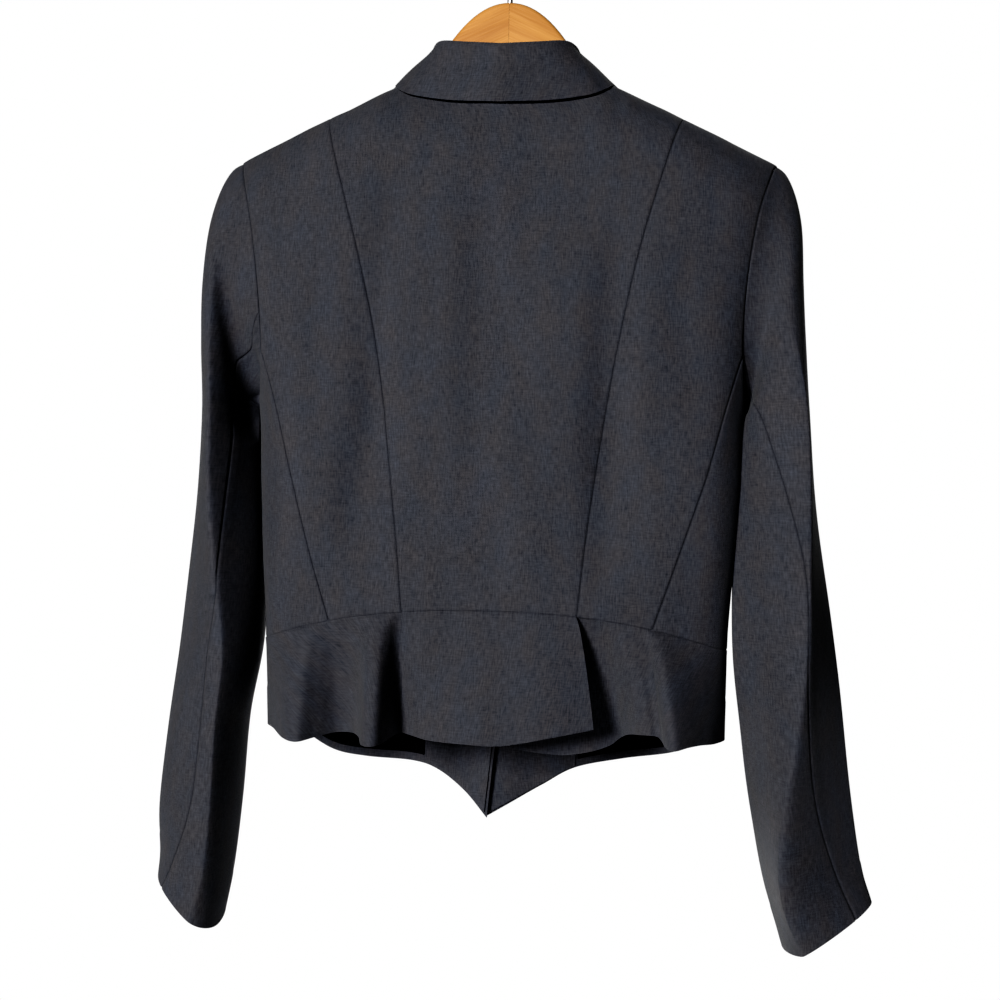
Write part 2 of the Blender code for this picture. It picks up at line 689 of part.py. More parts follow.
def lapel(word, side, surface, edge):
    """The lapel: the front's own points from the roll line outward, moved out."""
    top = between(NECK_LEVEL, BREAK_LEVEL, LAPEL_TOP)
    foot = between(NECK_LEVEL, BREAK_LEVEL, LAPEL_FOOT)
    outer, directions = [], []
    for share in spaced(0.0, 1.0, LAPEL_ROWS):
        roll_z = between(top, foot, share)
        tip_x = between(LAPEL_CORNER[0], roll_x(foot, edge) + LAPEL_FOOT_WIDTH, share)
        tip_x += LAPEL_SWELL * math.sin(math.pi * share)
        tip_z = between(LAPEL_CORNER[1], foot, share)
        lie = between(LAPEL_LIE, LAYER, smooth(share * 2))
        points, ways = [], []
        for u in spaced(0.0, 1.0, LAPEL_COLUMNS):
            x = between(roll_x(roll_z, edge), tip_x, u)
            z = between(roll_z, tip_z, u)
            into = inward(surface, x, z)
            points.append(surface(x, z) - into * (WALL + lie))
            ways.append(into)
        outer.append(points)
        directions.append(ways)
    wall(f"lapel_{word}", "wool", mirrored(outer, side), mirrored(directions, side))


def neck_seam(share):
    """The neck seam that the collar stands on: round the back neck, then down the roll line."""
    if share <= COLLAR_BACK:
        turn = math.radians(90 * share / COLLAR_BACK)
        level = NECK_LEVEL - NAPE_DROP * math.cos(turn) + SEAM
        return Vector((NECK_HALF * math.sin(turn), -NECK_DEPTH * math.cos(turn), level))
    front = (share - COLLAR_BACK) / (1.0 - COLLAR_BACK)
    level = between(NECK_LEVEL, COLLAR_END_LEVEL, front)
    x = roll_x(level, RIGHT_EDGE) - COLLAR_INSET * smooth(front * 4)
    return front_point(x, level) + Vector((0.0, 0.0, SEAM))


def collar_station(share):
    """Seam, fold and edge points of the collar at a share of the way from the nape to its end."""
    row = row_at(COLLAR, share)
    seam = neck_seam(share)
    fold = Vector((row.fold_x, row.fold_y, row.fold_z))
    x, z = row.edge_x, row.edge_z
    level = min(z, shoulder_level(x))
    back = back_point(x, level) - inward(back_point, x, level) * (WALL + COLLAR_LIE)
    front = front_point(x, level) - inward(front_point, x, level) * (WALL + COLLAR_LIE)
    ridge = Vector((x, 0.0, shoulder_level(x))) - ridge_inward(x) * (WALL + COLLAR_LIE)
    if row.lies_on < 0.5:
        edge = between(back, ridge, smooth(row.lies_on * 2))
    else:
        edge = between(ridge, front, smooth(row.lies_on * 2 - 1))
    return seam, fold, edge


def stand_point(seam, fold, share):
    """A point of the stand, which leans in from the neck seam and then rises to the fold."""
    lean = between(seam, fold, 1.0 - (1.0 - share) ** STAND_CURVE)
    return Vector((lean.x, lean.y, between(seam.z, fold.z, share)))


def collar():
    """The collar: a stand that rises from the neck seam, and a fall folded down over it."""
    up = Vector((0.0, 0.0, 1.0))
    stand, fall, roll_ways = [], [], []
    for share in spaced(-1.0, 1.0, COLLAR_STATIONS):
        seam, fold, edge = collar_station(abs(share))
        out = (edge - fold) * Vector((1.0, 1.0, 0.0))
        out.normalize()
        arch = (up + out).normalized() * COLLAR_ARCH
        stand.append([stand_point(seam, fold, t) for t in spaced(0.0, 1.0, STAND_ROWS)])
        fall.append([fold + up * roll.up + out * roll.out for roll in COLLAR_ROLL])
        fall[-1] += [between(fold, edge, t) + arch * 4 * t * (1 - t) for t in COLLAR_FALL_SHARES]
        roll_ways.append([-(up + out * roll.lean).normalized() for roll in COLLAR_ROLL])
        if share < 0:
            for rows in (stand, fall, roll_ways):
                rows[-1] = [Vector((-p.x, p.y, p.z)) for p in rows[-1]]

    def from_neck(point):
        return point - Vector((0.0, 0.0, point.z))

    stand_ways = grid_inward(stand, from_neck)
    for points, ways in zip(stand, stand_ways):
        ways[0] = -from_neck(points[0]).normalized()
    wall("collar_stand", "wool", stand, stand_ways)
    fall_ways = grid_inward(fall, lambda point: from_neck(point) + up * NECK_DEPTH)
    ways = [fixed + free[len(fixed):] for fixed, free in zip(roll_ways, fall_ways)]
    wall("collar_fall", "wool", fall, ways)


def sleeve_ring(table, station, angle):
    """A point of a right-hand sleeve at a ring and an angle round it."""
    angle %= 360
    if station < 1:
        start = armhole_point(angle) + Vector((SEAM, 0.0, 0.0))
        return between(start, sleeve_ring(table, 1, angle), station) if station else start
    row = look_up(table, station)
    outer = Vector((row.outer_x, 0.0, row.outer_z))
    inner = Vector((row.inner_x, 0.0, row.inner_z))
    back = angle <= 180
    crest = row.crest if back else FRONT_CREST
    sine, cosine = math.sin(math.radians(angle)), math.cos(math.radians(angle))
    reach = abs(cosine)
    along = crest + (1 - crest) * reach if cosine > 0 else crest - (1 + crest) * reach
    depth = -row.back if back else row.front
    place = (outer + inner) / 2 + (outer - inner) / 2 * along
    return place + Vector((0.0, depth * abs(sine), 0.0))


def sleeve_inward(table, station, angle):
    """The direction into a sleeve."""
    point = sleeve_ring(table, station, angle)
    if station == 0:
        level = (shoulder_level(TIP_HALF) + UNDERARM_LEVEL) / 2
        return Vector((0.0, -point.y, level - point.z)).normalized()
    if station < 1:
        ends = sleeve_inward(table, 0, angle), sleeve_inward(table, 1, angle)
        return between(*ends, station).normalized()
    around = sleeve_ring(table, station, angle + 3) - sleeve_ring(table, station, angle - 3)
    up, low = max(station - 0.25, 0.25), min(station + 0.25, len(table))
    down = sleeve_ring(table, low, angle) - sleeve_ring(table, up, angle)
    normal = around.cross(down).normalized()
    row = look_up(table, max(station, 1))
    middle = Vector((row.outer_x + row.inner_x, 0.0, row.outer_z + row.inner_z)) / 2
    return normal if normal.dot(middle - point) > 0 else -normal


def sleeves():
    """Two-piece sleeves: an upper and an under piece, joined along the hind and fore arm."""
    for side, word, table in ((1, "right", SLEEVE_RIGHT), (-1, "left", SLEEVE_LEFT)):
        pieces = {"upper": ([], []), "under": ([], [])}
        for station in SLEEVE_STATIONS:
            hind = look_up(table, station).hind if station else SIDE_SEAM_ANGLE
            step = sleeve_ring(table, station, hind + 1) - sleeve_ring(table, station, hind - 1)
            gap = SLEEVE_SEAM / step.length
            fore = [-a for a in ARMHOLE_ANGLES[:0:-1]]
            back = [a / SIDE_SEAM_ANGLE * hind for a in ARMHOLE_ANGLES]
            spans = {
                "upper": [fore[0] + gap, *fore[1:], *back[:-1], hind - gap],
                "under": spaced(hind + gap, FORE_SEAM - gap, UNDER_COLUMNS),
            }
            seams = {"upper": (FORE_SEAM, hind), "under": (hind, FORE_SEAM)}
            for name, angles in spans.items():
                outer, ways = pieces[name]
                outer.append([sleeve_ring(table, station, a) for a in angles])
                first, last = (sleeve_inward(table, station, a) for a in seams[name])
                middle = [sleeve_inward(table, station, a) for a in angles[1:-1]]
                ways.append([first, *middle, last])
        for name, (outer, ways) in pieces.items():
            wall(f"sleeve_{name}_{word}", "wool", mirrored(outer, side), mirrored(ways, side))


def fall_from(waist, hem):
    """Rows of a peplum piece that falls from its waist points to its hem points."""
    rows = []
    for share in spaced(0.0, 1.0, PEPLUM_ROWS):
        rows.append([between(a, b, share) for a, b in zip(waist, hem)])
    return rows


def from_axis(point):
    """Away from the jacket's upright axis."""
    return Vector((point.x * 0.4, point.y, 0.0))


def peplum_sides():
    """The fluted pieces of the peplum at the sides and the pleat's underlay."""
    drop = Vector((0.0, 0.0, SEAM))
    for side, word, table in ((1, "right", PEPLUM_RIGHT), (-1, "left", PEPLUM_LEFT)):
        waist, hem, first = [], [], []
        for share in spaced(0.0, 1.0, 2 * len(table) - 1):
            row = row_at(table, share)
            into = side_inward(row.turn, waist_level(waist_share(row.turn), row.turn > 90))
            waist.append(waist_point(row.turn) + into * row.tuck - drop)
            hem.append(Vector((row.hem_x, row.hem_y, row.hem_z)))
            first.append(into)
        rows = fall_from(waist, hem)
        ways = fold_inward(rows)
        ways[0] = first
        for row in ways:
            row[-1] = first[-1]
        wall(f"peplum_side_{word}", "wool", mirrored(rows, side), mirrored(ways, side))


def peplum_back():
    """The flat middle panel of the peplum."""
    waist, hem = [], []
    for share in spaced(0.0, 1.0, PEPLUM_BACK_COLUMNS):
        row = row_at(PEPLUM_BACK, share)
        level = waist_level(row.waist_x / look_up(BODY, WAIST_BACK).half_width) - SEAM / 2
        waist.append(back_point(row.waist_x, level))
        hem.append(Vector((row.hem_x, row.hem_y, row.hem_z)))
    rows = fall_from(waist, hem)
    wall("peplum_back", "wool", rows, grid_inward(rows, from_axis))


def front_fall(table, lapped, shares, high=0.0, low=1.0):
    """Rows of a pointed front between two shares of its drop, at shares of the way to its edge."""
    half_width = look_up(BODY, WAIST_SIDE).half_width
    tops, hems = [], []
    for share in shares:
        row = row_at(table, share)
        level = waist_level(min(abs(row.waist_x) / half_width, 1.0), True) - SEAM / 2
        lift = Vector((0.0, lap_lift(row.waist_x) if lapped else 0.0, 0.0))
        waist = front_point(row.waist_x, level) + lift
        hem = Vector((row.hem_x, row.hem_y, row.hem_z)) + lift
        tops.append(between(waist, hem, high))
        hems.append(between(waist, hem, low))
    return fall_from(tops, hems)


def peplum_fronts():
    """The pointed fronts of the peplum, with the facing and lining that show inside them."""
    whole = spaced(PEPLUM_FRONT_START, 1.0, PEPLUM_FRONT_COLUMNS)
    faced = spaced(FACING_START + LINING_GAP, FACING_END, FACING_COLUMNS)
    lined = spaced(LINING_START, FACING_START, LINING_COLUMNS)
    for side, word, table in (
        (1, "right", PEPLUM_FRONT_RIGHT), (-1, "left", PEPLUM_FRONT_LEFT)
    ):
        lapped = side > 0
        rows = front_fall(table, lapped, whole)
        ways = grid_inward(rows, from_axis)
        for row in ways:
            row[0] = side_inward(PEPLUM_FRONT_TURN, WAIST_SIDE)
        wall(f"peplum_front_{word}", "wool", mirrored(rows, side), mirrored(ways, side))
        inside = {
            "facing": ("wool", front_fall(table, lapped, faced, FACING_TOP, FACING_END)),
            "lining": ("lining", front_fall(table, lapped, lined, FACING_TOP, LINING_HEM)),
        }
        for name, (kind, face) in inside.items():
            ways = grid_inward(face, from_axis)
            moved = [
                [p + w * (WALL + LAYER) for p, w in zip(row, into)] for row, into in zip(face, ways)
            ]
            made = mirrored(moved, side), mirrored(ways, side)
            wall(f"{name}_{word}", kind, *made, LINING_WALL)


def button():
    """The one button of the lapped fronts."""
    place = front_surface(True)(BUTTON_X, BUTTON_LEVEL)
    place.y += SEAM + BUTTON_DEPTH / 2 + LAYER
    bpy.ops.mesh.primitive_cylinder_add(
        vertices=24, radius=BUTTON_RADIUS, depth=BUTTON_DEPTH, location=place,
        rotation=(math.pi / 2, 0.0, 0.0),
    )
    piece = bpy.context.object
    piece.name = "button"
    for collection in piece.users_collection:
        collection.objects.unlink(piece)
    finish(piece, "horn")


def arm_top(x):
    """Top edge of a hanger arm: an arch in the neck, then along under the shoulder."""
    arch = ARCH_TOP - ARCH_SCALE * (x * 1000) ** ARCH_POWER / 1000
    arch -= ARCH_TUCK * smooth((x - ARCH_HALF) / (NECK_HALF - ARCH_HALF))
    return max(arch, shoulder_level(x) - ARM_CLEAR)


def arm_outline():
    """Outline of the right-hand arm, clockwise from the top of the joint."""
    top = [(x, arm_top(x)) for x in spaced(SEAM / 2, ARM_REACH, 25)]
    end_level = arm_top(ARM_REACH) - ARM_END_HEIGHT
    nose = [
        (ARM_REACH + ARM_NOSE * math.sin(math.pi * t), between(arm_top(ARM_REACH), end_level, t))
        for t in (0.25, 0.5, 0.75)
    ]
    low = [
        (x, between(ARM_MIDDLE_LOW, end_level, (x / ARM_REACH) ** ARM_LOW_CURVE))
        for x in spaced(ARM_REACH, SEAM / 2, 10)
    ]
    return top + nose + low


def hanger():
    """The two wooden arms of the hanger, which meet at the middle."""
    for side, word in ((1, "right"), (-1, "left")):
        name = f"hanger_arm_{word}"
        mesh = bmesh.new()
        mesh.faces.new([mesh.verts.new((side * x, 0.0, z)) for x, z in arm_outline()])
        data = bpy.data.meshes.new(name)
        mesh.to_mesh(data)
        mesh.free()
        arm = bpy.data.objects.new(name, data)
        finish(arm, "wood")
        plank = arm.modifiers.new("plank", "SOLIDIFY")
        plank.thickness = 2 * ARM_HALF_DEPTH
        plank.offset = 0.0
        edge = arm.modifiers.new("edge", "BEVEL")
        edge.width = ARM_EDGE
        edge.segments = 2
        edge.limit_method = "ANGLE"
        edge.angle_limit = math.radians(ARM_EDGE_ANGLE)


def hook():
    """The wire hook, whose inside crown is the origin."""
    radius = HOOK_INSIDE + HOOK_WIRE
    route = [Vector((0.0, 0.0, ARCH_TOP + SEAM))]
    for angle in (180, 155, 130, 105):
        turn = math.radians(angle)
        across = HOOK_BEND * (1.0 + math.cos(turn))
        route.append(Vector((across, 0.0, HOOK_BEND_LEVEL + HOOK_BEND * math.sin(turn))))
    for angle in spaced(HOOK_START, HOOK_MOUTH, 21):
        turn = math.radians(angle)
        route.append(Vector((radius * math.cos(turn), 0.0, radius * math.sin(turn) - HOOK_INSIDE)))
    curve = bpy.data.curves.new("hanger_hook", "CURVE")
    curve.dimensions = "3D"
    curve.bevel_depth = HOOK_WIRE
    curve.bevel_resolution = 2
    curve.use_fill_caps = True
    spline = curve.splines.new("POLY")
    spline.points.add(len(route) - 1)
    for point, place in zip(spline.points, route):
        point.co = (*place, 1.0)
    finish(bpy.data.objects.new("hanger_hook", curve), "steel")


def main():
    """Clear the scene and build every piece."""
    for old in list(bpy.data.objects):
        bpy.data.objects.remove(old, do_unlink=True)
    bpy.context.scene.collection.children.link(bpy.data.collections.new("cropped_blazer"))
    back_center()
    back_sides()
    sides()
    fronts()
    collar()
    sleeves()
    peplum_back()
    peplum_sides()
    peplum_fronts()
    button()
    hanger()
    hook()


main()
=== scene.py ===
"""Looks of a cropped blazer with a fluted peplum, hung on a wooden hanger and seen from behind.

Metres, +Z up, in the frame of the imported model: the origin is the inside crown of the hanger's hook,
+X is the wearer's right and +Y the wearer's front, so the back of the jacket faces -Y.
"""

import logging
import math
from dataclasses import dataclass
from enum import Enum
from typing import Any, Callable, NamedTuple, Sequence, TypeVar

import bpy
import numpy as np
from mathutils import Matrix, Vector


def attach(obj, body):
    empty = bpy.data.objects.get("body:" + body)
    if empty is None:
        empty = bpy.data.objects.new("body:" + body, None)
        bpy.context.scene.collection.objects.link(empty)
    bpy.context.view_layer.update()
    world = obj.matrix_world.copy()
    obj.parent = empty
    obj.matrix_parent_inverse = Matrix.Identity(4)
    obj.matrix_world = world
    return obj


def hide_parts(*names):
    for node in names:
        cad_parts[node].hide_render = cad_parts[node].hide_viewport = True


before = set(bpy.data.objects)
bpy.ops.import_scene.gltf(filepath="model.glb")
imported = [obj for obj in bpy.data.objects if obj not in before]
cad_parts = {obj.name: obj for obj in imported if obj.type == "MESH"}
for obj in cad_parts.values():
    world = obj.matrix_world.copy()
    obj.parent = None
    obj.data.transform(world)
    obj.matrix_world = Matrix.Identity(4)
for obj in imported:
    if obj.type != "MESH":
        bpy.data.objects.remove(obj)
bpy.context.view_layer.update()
LOG = logging.getLogger("blazer")

Array = np.ndarray
Surface = Callable[[Array, Array], Array]
Triple = tuple[float, float, float]
Object = bpy.types.Object
Node = bpy.types.Node
Socket = bpy.types.NodeSocket
Row = TypeVar("Row")

# Between two sewn pieces, through the cloth of the solids, and between two loose layers.
SEAM = 0.0003
WALL = 0.0016
LAYER = 0.0006
# From line to line in the middle of a cloth's grid, and from its edge to the closer lines there.
GRID_STEP = 0.0027
EDGE_STEPS = (0.0004, 0.0010, 0.0018, 0.0030)
UP = np.array((0.0, 0.0, 1.0))


class BodyRow(NamedTuple):
    """A level section of the body."""

    level: float
    half_width: float
    back: float
    front: float


class ArmholeRow(NamedTuple):
    """How far out the armhole is at an angle from the shoulder tip."""

    angle: float
    back_x: float
    front_x: float


class PrincessRow(NamedTuple):
    """Half the distance between the princess seams at a level."""

    level: float
    half: float


class CollarRow(NamedTuple):
    """The collar's fold, the edge of its fall, and whether that lies on the back (0) or front (1)."""

    fold_x: float
    fold_y: float
    fold_z: float
    edge_x: float
    edge_z: float
    lies_on: float


class RollRow(NamedTuple):
    """A step of the collar's rolled fold, above and outside the top of its stand."""

    up: float
    out: float


class SleeveRow(NamedTuple):
    """A ring of a sleeve: its edges, reach, back crest, hind seam, sharpness and inward swing."""

    ring: float
    outer_x: float
    outer_z: float
    inner_x: float
    inner_z: float
    back: float
    front: float
    crest: float
    hind: float
    fold: float
    swing: float


class FoldRow(NamedTuple):
    """A fold of the peplum: where it leaves the waist, where it ends, and how far its top is tucked."""

    turn: float
    hem_x: float
    hem_y: float
    hem_z: float
    tuck: float


class FallRow(NamedTuple):
    """A line of the peplum's plain pieces, from the waist to the hem."""

    waist_x: float
    hem_x: float
    hem_y: float
    hem_z: float


def rows(kind: type[Row], *values: Sequence[float]) -> tuple[Row, ...]:
    """A table of named rows."""
    return tuple(kind(*row) for row in values)


BODY = rows(
    BodyRow,
    (-0.115, 0.2060, 0.056, 0.048),
    (-0.190, 0.2058, 0.064, 0.054),
    (-0.240, 0.2030, 0.071, 0.060),
    (-0.300, 0.1930, 0.075, 0.065),
    (-0.370, 0.1835, 0.077, 0.067),
    (-0.430, 0.1812, 0.075, 0.066),
    (-0.490, 0.1785, 0.071, 0.064),
    (-0.545, 0.1752, 0.067, 0.062),
    (-0.700, 0.1745, 0.074, 0.070),
)
ARMHOLE = rows(
    ArmholeRow,
    (0, 0.2060, 0.2060),
    (30, 0.1990, 0.1960),
    (60, 0.1885, 0.1830),
    (90, 0.1815, 0.1750),
    (120, 0.1780, 0.1730),
    (150, 0.1795, 0.1775),
    (180, 0.1835, 0.1835),
)
PRINCESS = rows(
    PrincessRow,
    (-0.150, 0.1340),
    (-0.194, 0.1205),
    (-0.258, 0.1030),
    (-0.328, 0.0893),
    (-0.383, 0.0808),
    (-0.466, 0.0695),
    (-0.530, 0.0630),
)
COLLAR = rows(
    CollarRow,
    (0.0000, -0.0480, -0.1060, 0.0000, -0.1510, 0),
    (0.0265, -0.0440, -0.1035, 0.0380, -0.1492, 0),
    (0.0445, -0.0305, -0.0988, 0.0660, -0.1432, 0),
    (0.0520, -0.0140, -0.0972, 0.0785, -0.1345, 0),
    (0.0555, 0.0030, -0.0995, 0.0852, -0.1285, 0.5),
    (0.0605, 0.0230, -0.1105, 0.0940, -0.1385, 1),
    (0.0640, 0.0390, -0.1255, 0.1040, -0.1560, 1),
    (0.0635, 0.0500, -0.1430, 0.1060, -0.1760, 1),
)
COLLAR_ROLL = rows(
    RollRow,
    (0.0019, -0.0006),
    (0.0013, 0.0016),
    (-0.0030, 0.0040),
)
COLLAR_FALL_SHARES = (0.35, 0.55, 0.78, 1.0)
SLEEVE_LEFT = rows(
    SleeveRow,
    (0, 0.2060, -0.1840, 0.1838, -0.3702, 0.040, 0.043, 0.10, 107, 0.00, 0.000),
    (1, 0.2152, -0.1935, 0.1858, -0.3712, 0.042, 0.045, 0.15, 128, 0.00, 0.000),
    (2, 0.2257, -0.2271, 0.1864, -0.3722, 0.047, 0.051, 0.25, 135, 0.05, 0.000),
    (3, 0.2312, -0.2739, 0.1868, -0.3738, 0.052, 0.058, 0.24, 135, 0.20, 0.000),
    (4, 0.2328, -0.3207, 0.1868, -0.3770, 0.057, 0.064, 0.16, 130, 0.50, 0.000),
    (5, 0.2320, -0.3720, 0.1862, -0.3900, 0.060, 0.068, 0.12, 123, 0.75, 0.004),
    (6, 0.2345, -0.4298, 0.1838, -0.4330, 0.062, 0.070, 0.05, 114, 0.80, 0.010),
    (7, 0.2399, -0.4923, 0.1802, -0.4930, 0.061, 0.071, -0.18, 97, 0.75, 0.016),
    (8, 0.2458, -0.5548, 0.1818, -0.5548, 0.058, 0.071, -0.48, 75, 0.60, 0.016),
    (9, 0.2536, -0.6175, 0.1925, -0.6130, 0.053, 0.070, -0.62, 76, 0.45, 0.010),
    (10, 0.2594, -0.6801, 0.1980, -0.6775, 0.047, 0.068, -0.66, 71, 0.35, 0.004),
    (11, 0.2578, -0.7170, 0.2045, -0.7330, 0.041, 0.066, -0.60, 53, 0.25, 0.000),
    (12, 0.2582, -0.7345, 0.2119, -0.7745, 0.038, 0.065, -0.40, 42, 0.10, 0.000),
)
SLEEVE_RIGHT = rows(
    SleeveRow,
    (0, 0.2060, -0.1840, 0.1838, -0.3702, 0.040, 0.043, -0.10, 120, 0.00, 0.000),
    (1, 0.2150, -0.1945, 0.1858, -0.3712, 0.042, 0.045, -0.05, 145, 0.00, 0.000),
    (2, 0.2235, -0.2260, 0.1852, -0.3722, 0.047, 0.051, 0.06, 149, 0.05, 0.005),
    (3, 0.2262, -0.2710, 0.1842, -0.3738, 0.052, 0.058, 0.26, 148, 0.10, 0.012),
    (4, 0.2283, -0.3170, 0.1818, -0.3770, 0.057, 0.064, 0.54, 143, 0.20, 0.020),
    (5, 0.2315, -0.3680, 0.1800, -0.3900, 0.060, 0.068, 0.74, 130, 0.40, 0.024),
    (6, 0.2372, -0.4250, 0.1785, -0.4330, 0.062, 0.070, 0.68, 110, 0.70, 0.028),
    (7, 0.2460, -0.4830, 0.1770, -0.4920, 0.062, 0.071, 0.51, 94, 0.90, 0.028),
    (8, 0.2560, -0.5430, 0.1790, -0.5500, 0.061, 0.071, 0.29, 88, 0.96, 0.024),
    (9, 0.2640, -0.6020, 0.1864, -0.6090, 0.061, 0.070, -0.06, 76, 0.98, 0.014),
    (10, 0.2716, -0.6620, 0.1952, -0.6670, 0.062, 0.068, -0.50, 61, 0.98, 0.008),
    (11, 0.2800, -0.7100, 0.2070, -0.7230, 0.058, 0.066, -0.80, 47, 0.85, 0.000),
    (12, 0.2874, -0.7350, 0.2221, -0.7715, 0.046, 0.065, -0.66, 43, 0.40, 0.000),
)
PEPLUM_FRONT_TURN = 118.0
PEPLUM_LEFT = rows(
    FoldRow,
    (16.0, 0.0628, -0.0455, -0.6135, 0.0018),
    (17.2, 0.0660, -0.0462, -0.6140, 0.0010),
    (18.0, 0.0690, -0.0545, -0.6148, 0.0004),
    (19.2, 0.0718, -0.0760, -0.6158, 0.0),
    (20.8, 0.0757, -0.0925, -0.6165, 0.0),
    (22.6, 0.0815, -0.0958, -0.6168, 0.0),
    (24.2, 0.0872, -0.0890, -0.6170, 0.0),
    (25.8, 0.0908, -0.0745, -0.6166, 0.0),
    (27.8, 0.0945, -0.0590, -0.6158, 0.0),
    (31.0, 0.1015, -0.0460, -0.6150, 0.0),
    (36.0, 0.1135, -0.0465, -0.6150, 0.0),
    (41.0, 0.1262, -0.0610, -0.6168, 0.0),
    (46.0, 0.1370, -0.0740, -0.6185, 0.0),
    (52.0, 0.1482, -0.0680, -0.6175, 0.0),
    (62.0, 0.1620, -0.0400, -0.6145, 0.0),
    (78.0, 0.1738, -0.0080, -0.6160, 0.0),
    (98.0, 0.1725, 0.0220, -0.6195, 0.0),
    (PEPLUM_FRONT_TURN, 0.1610, 0.0460, -0.6260, 0.0),
)
PEPLUM_RIGHT = rows(
    FoldRow,
    (16.6, 0.0100, -0.0380, -0.6226, 0.0026),
    (17.2, 0.0320, -0.0330, -0.6268, 0.0026),
    (17.9, 0.0540, -0.0295, -0.6288, 0.0025),
    (18.8, 0.0740, -0.0275, -0.6262, 0.0024),
    (20.0, 0.0895, -0.0265, -0.6208, 0.0020),
    (21.6, 0.0972, -0.0300, -0.6140, 0.0012),
    (24.0, 0.1030, -0.0440, -0.6095, 0.0004),
    (27.0, 0.1100, -0.0585, -0.6075, 0.0),
    (30.0, 0.1170, -0.0640, -0.6068, 0.0),
    (32.5, 0.1230, -0.0630, -0.6075, 0.0),
    (34.5, 0.1268, -0.0660, -0.6105, 0.0),
    (35.8, 0.1288, -0.0760, -0.6128, 0.0),
    (37.2, 0.1320, -0.0850, -0.6140, 0.0),
    (39.5, 0.1372, -0.0860, -0.6135, 0.0),
    (44.0, 0.1455, -0.0760, -0.6125, 0.0),
    (51.0, 0.1550, -0.0600, -0.6130, 0.0),
    (62.0, 0.1655, -0.0390, -0.6150, 0.0),
    (78.0, 0.1745, -0.0100, -0.6165, 0.0),
    (98.0, 0.1738, 0.0220, -0.6195, 0.0),
    (PEPLUM_FRONT_TURN, 0.1610, 0.0460, -0.6260, 0.0),
)
PEPLUM_BACK = rows(
    FallRow,
    (-0.0634, -0.0640, -0.0482, -0.6132),
    (-0.0540, -0.0555, -0.0575, -0.6138),
    (-0.0400, -0.0410, -0.0700, -0.6150),
    (-0.0150, -0.0125, -0.0810, -0.6152),
    (0.0120, 0.0140, -0.0830, -0.6149),
    (0.0420, 0.0525, -0.0800, -0.6075),
    (0.0634, 0.0778, -0.0745, -0.6024),
)
PEPLUM_FRONT_LEFT = rows(
    FallRow,
    (0.1580, 0.1610, 0.0460, -0.6260),
    (0.1330, 0.1352, 0.0570, -0.6440),
    (0.1080, 0.1086, 0.0630, -0.6500),
    (0.0720, 0.0702, 0.0645, -0.6525),
    (0.0500, 0.0485, 0.0600, -0.6585),
    (0.0230, 0.0260, 0.0520, -0.6735),
    (-0.0080, 0.0075, 0.0440, -0.6925),
)
PEPLUM_FRONT_RIGHT = rows(
    FallRow,
    (0.1580, 0.1610, 0.0460, -0.6260),
    (0.1330, 0.1383, 0.0600, -0.6378),
    (0.1000, 0.0994, 0.0720, -0.6460),
    (0.0640, 0.0604, 0.0740, -0.6552),
    (0.0380, 0.0346, 0.0660, -0.6690),
    (0.0100, 0.0120, 0.0550, -0.6815),
    (-0.0180, -0.0080, 0.0470, -0.6925),
)


class Side(Enum):
    """One side of the jacket, by the sign of its x."""

    LEFT = -1
    RIGHT = 1

    @property
    def word(self) -> str:
        """The side's name in lower case, as the nodes have it."""
        return self.name.lower()


def mix(start: Any, end: Any, share: Any) -> Any:
    """Blend two values or arrays by a share of the way."""
    return start + (end - start) * share


def ease(share: Any) -> Any:
    """Ease a share in and out between 0 and 1."""
    held = np.clip(share, 0.0, 1.0)
    return held * held * (3.0 - 2.0 * held)


def through(keys: Sequence[float], values: Sequence[float], at: Any) -> Array:
    """Read a smooth curve that passes through values at rising keys.

    Args:
        keys: Rising places of the values.
        values: The values that the curve passes through.
        at: Places to read, of any shape.

    Returns:
        The curve's values, in the shape of at.
    """
    marks, heights, place = (np.asarray(v, dtype=float) for v in (keys, values, at))
    count = len(marks)
    low = np.maximum(np.arange(count) - 1, 0)
    high = np.minimum(np.arange(count) + 1, count - 1)
    slope = (heights[high] - heights[low]) / (marks[high] - marks[low])
    i = np.clip(np.searchsorted(marks, place) - 1, 0, count - 2)
    span = marks[i + 1] - marks[i]
    t = np.clip((place - marks[i]) / span, 0.0, 1.0)
    rise = heights[i] * (2 * t**3 - 3 * t**2 + 1) + heights[i + 1] * (3 * t**2 - 2 * t**3)
    lean = slope[i] * (t**3 - 2 * t**2 + t) + slope[i + 1] * (t**3 - t**2)
    return rise + lean * span


def read(table: Sequence[Any], at: Any) -> Any:
    """Read every column of a table, smoothly, at values of its first column.

    Args:
        table: Named rows, rising or falling in their first column.
        at: Values of the first column.

    Returns:
        A row whose columns are arrays in the shape of at.
    """
    rows = table if table[0][0] < table[-1][0] else table[::-1]
    keys = [row[0] for row in rows]
    return type(rows[0])(*(through(keys, column, at) for column in zip(*rows)))


def stepped(table: Sequence[Any], share: Any) -> Any:
    """Read every column of a table, smoothly, at a share of the way through its rows.

    Args:
        table: Named rows in order.
        share: Shares of the way, from 0 at the first row to 1 at the last.

    Returns:
        A row whose columns are arrays in the shape of share.
    """
    keys = np.linspace(0.0, 1.0, len(table))
    return type(table[0])(*(through(keys, column, share) for column in zip(*table)))


def spots(x: Any, y: Any, z: Any) -> Array:
    """Points from arrays of their coordinates."""
    return np.stack(np.broadcast_arrays(x, y, z), axis=-1).astype(float)


def unit(vectors: Array) -> Array:
    """Vectors brought to length 1."""
    return vectors / np.maximum(np.linalg.norm(vectors, axis=-1, keepdims=True), 1e-12)


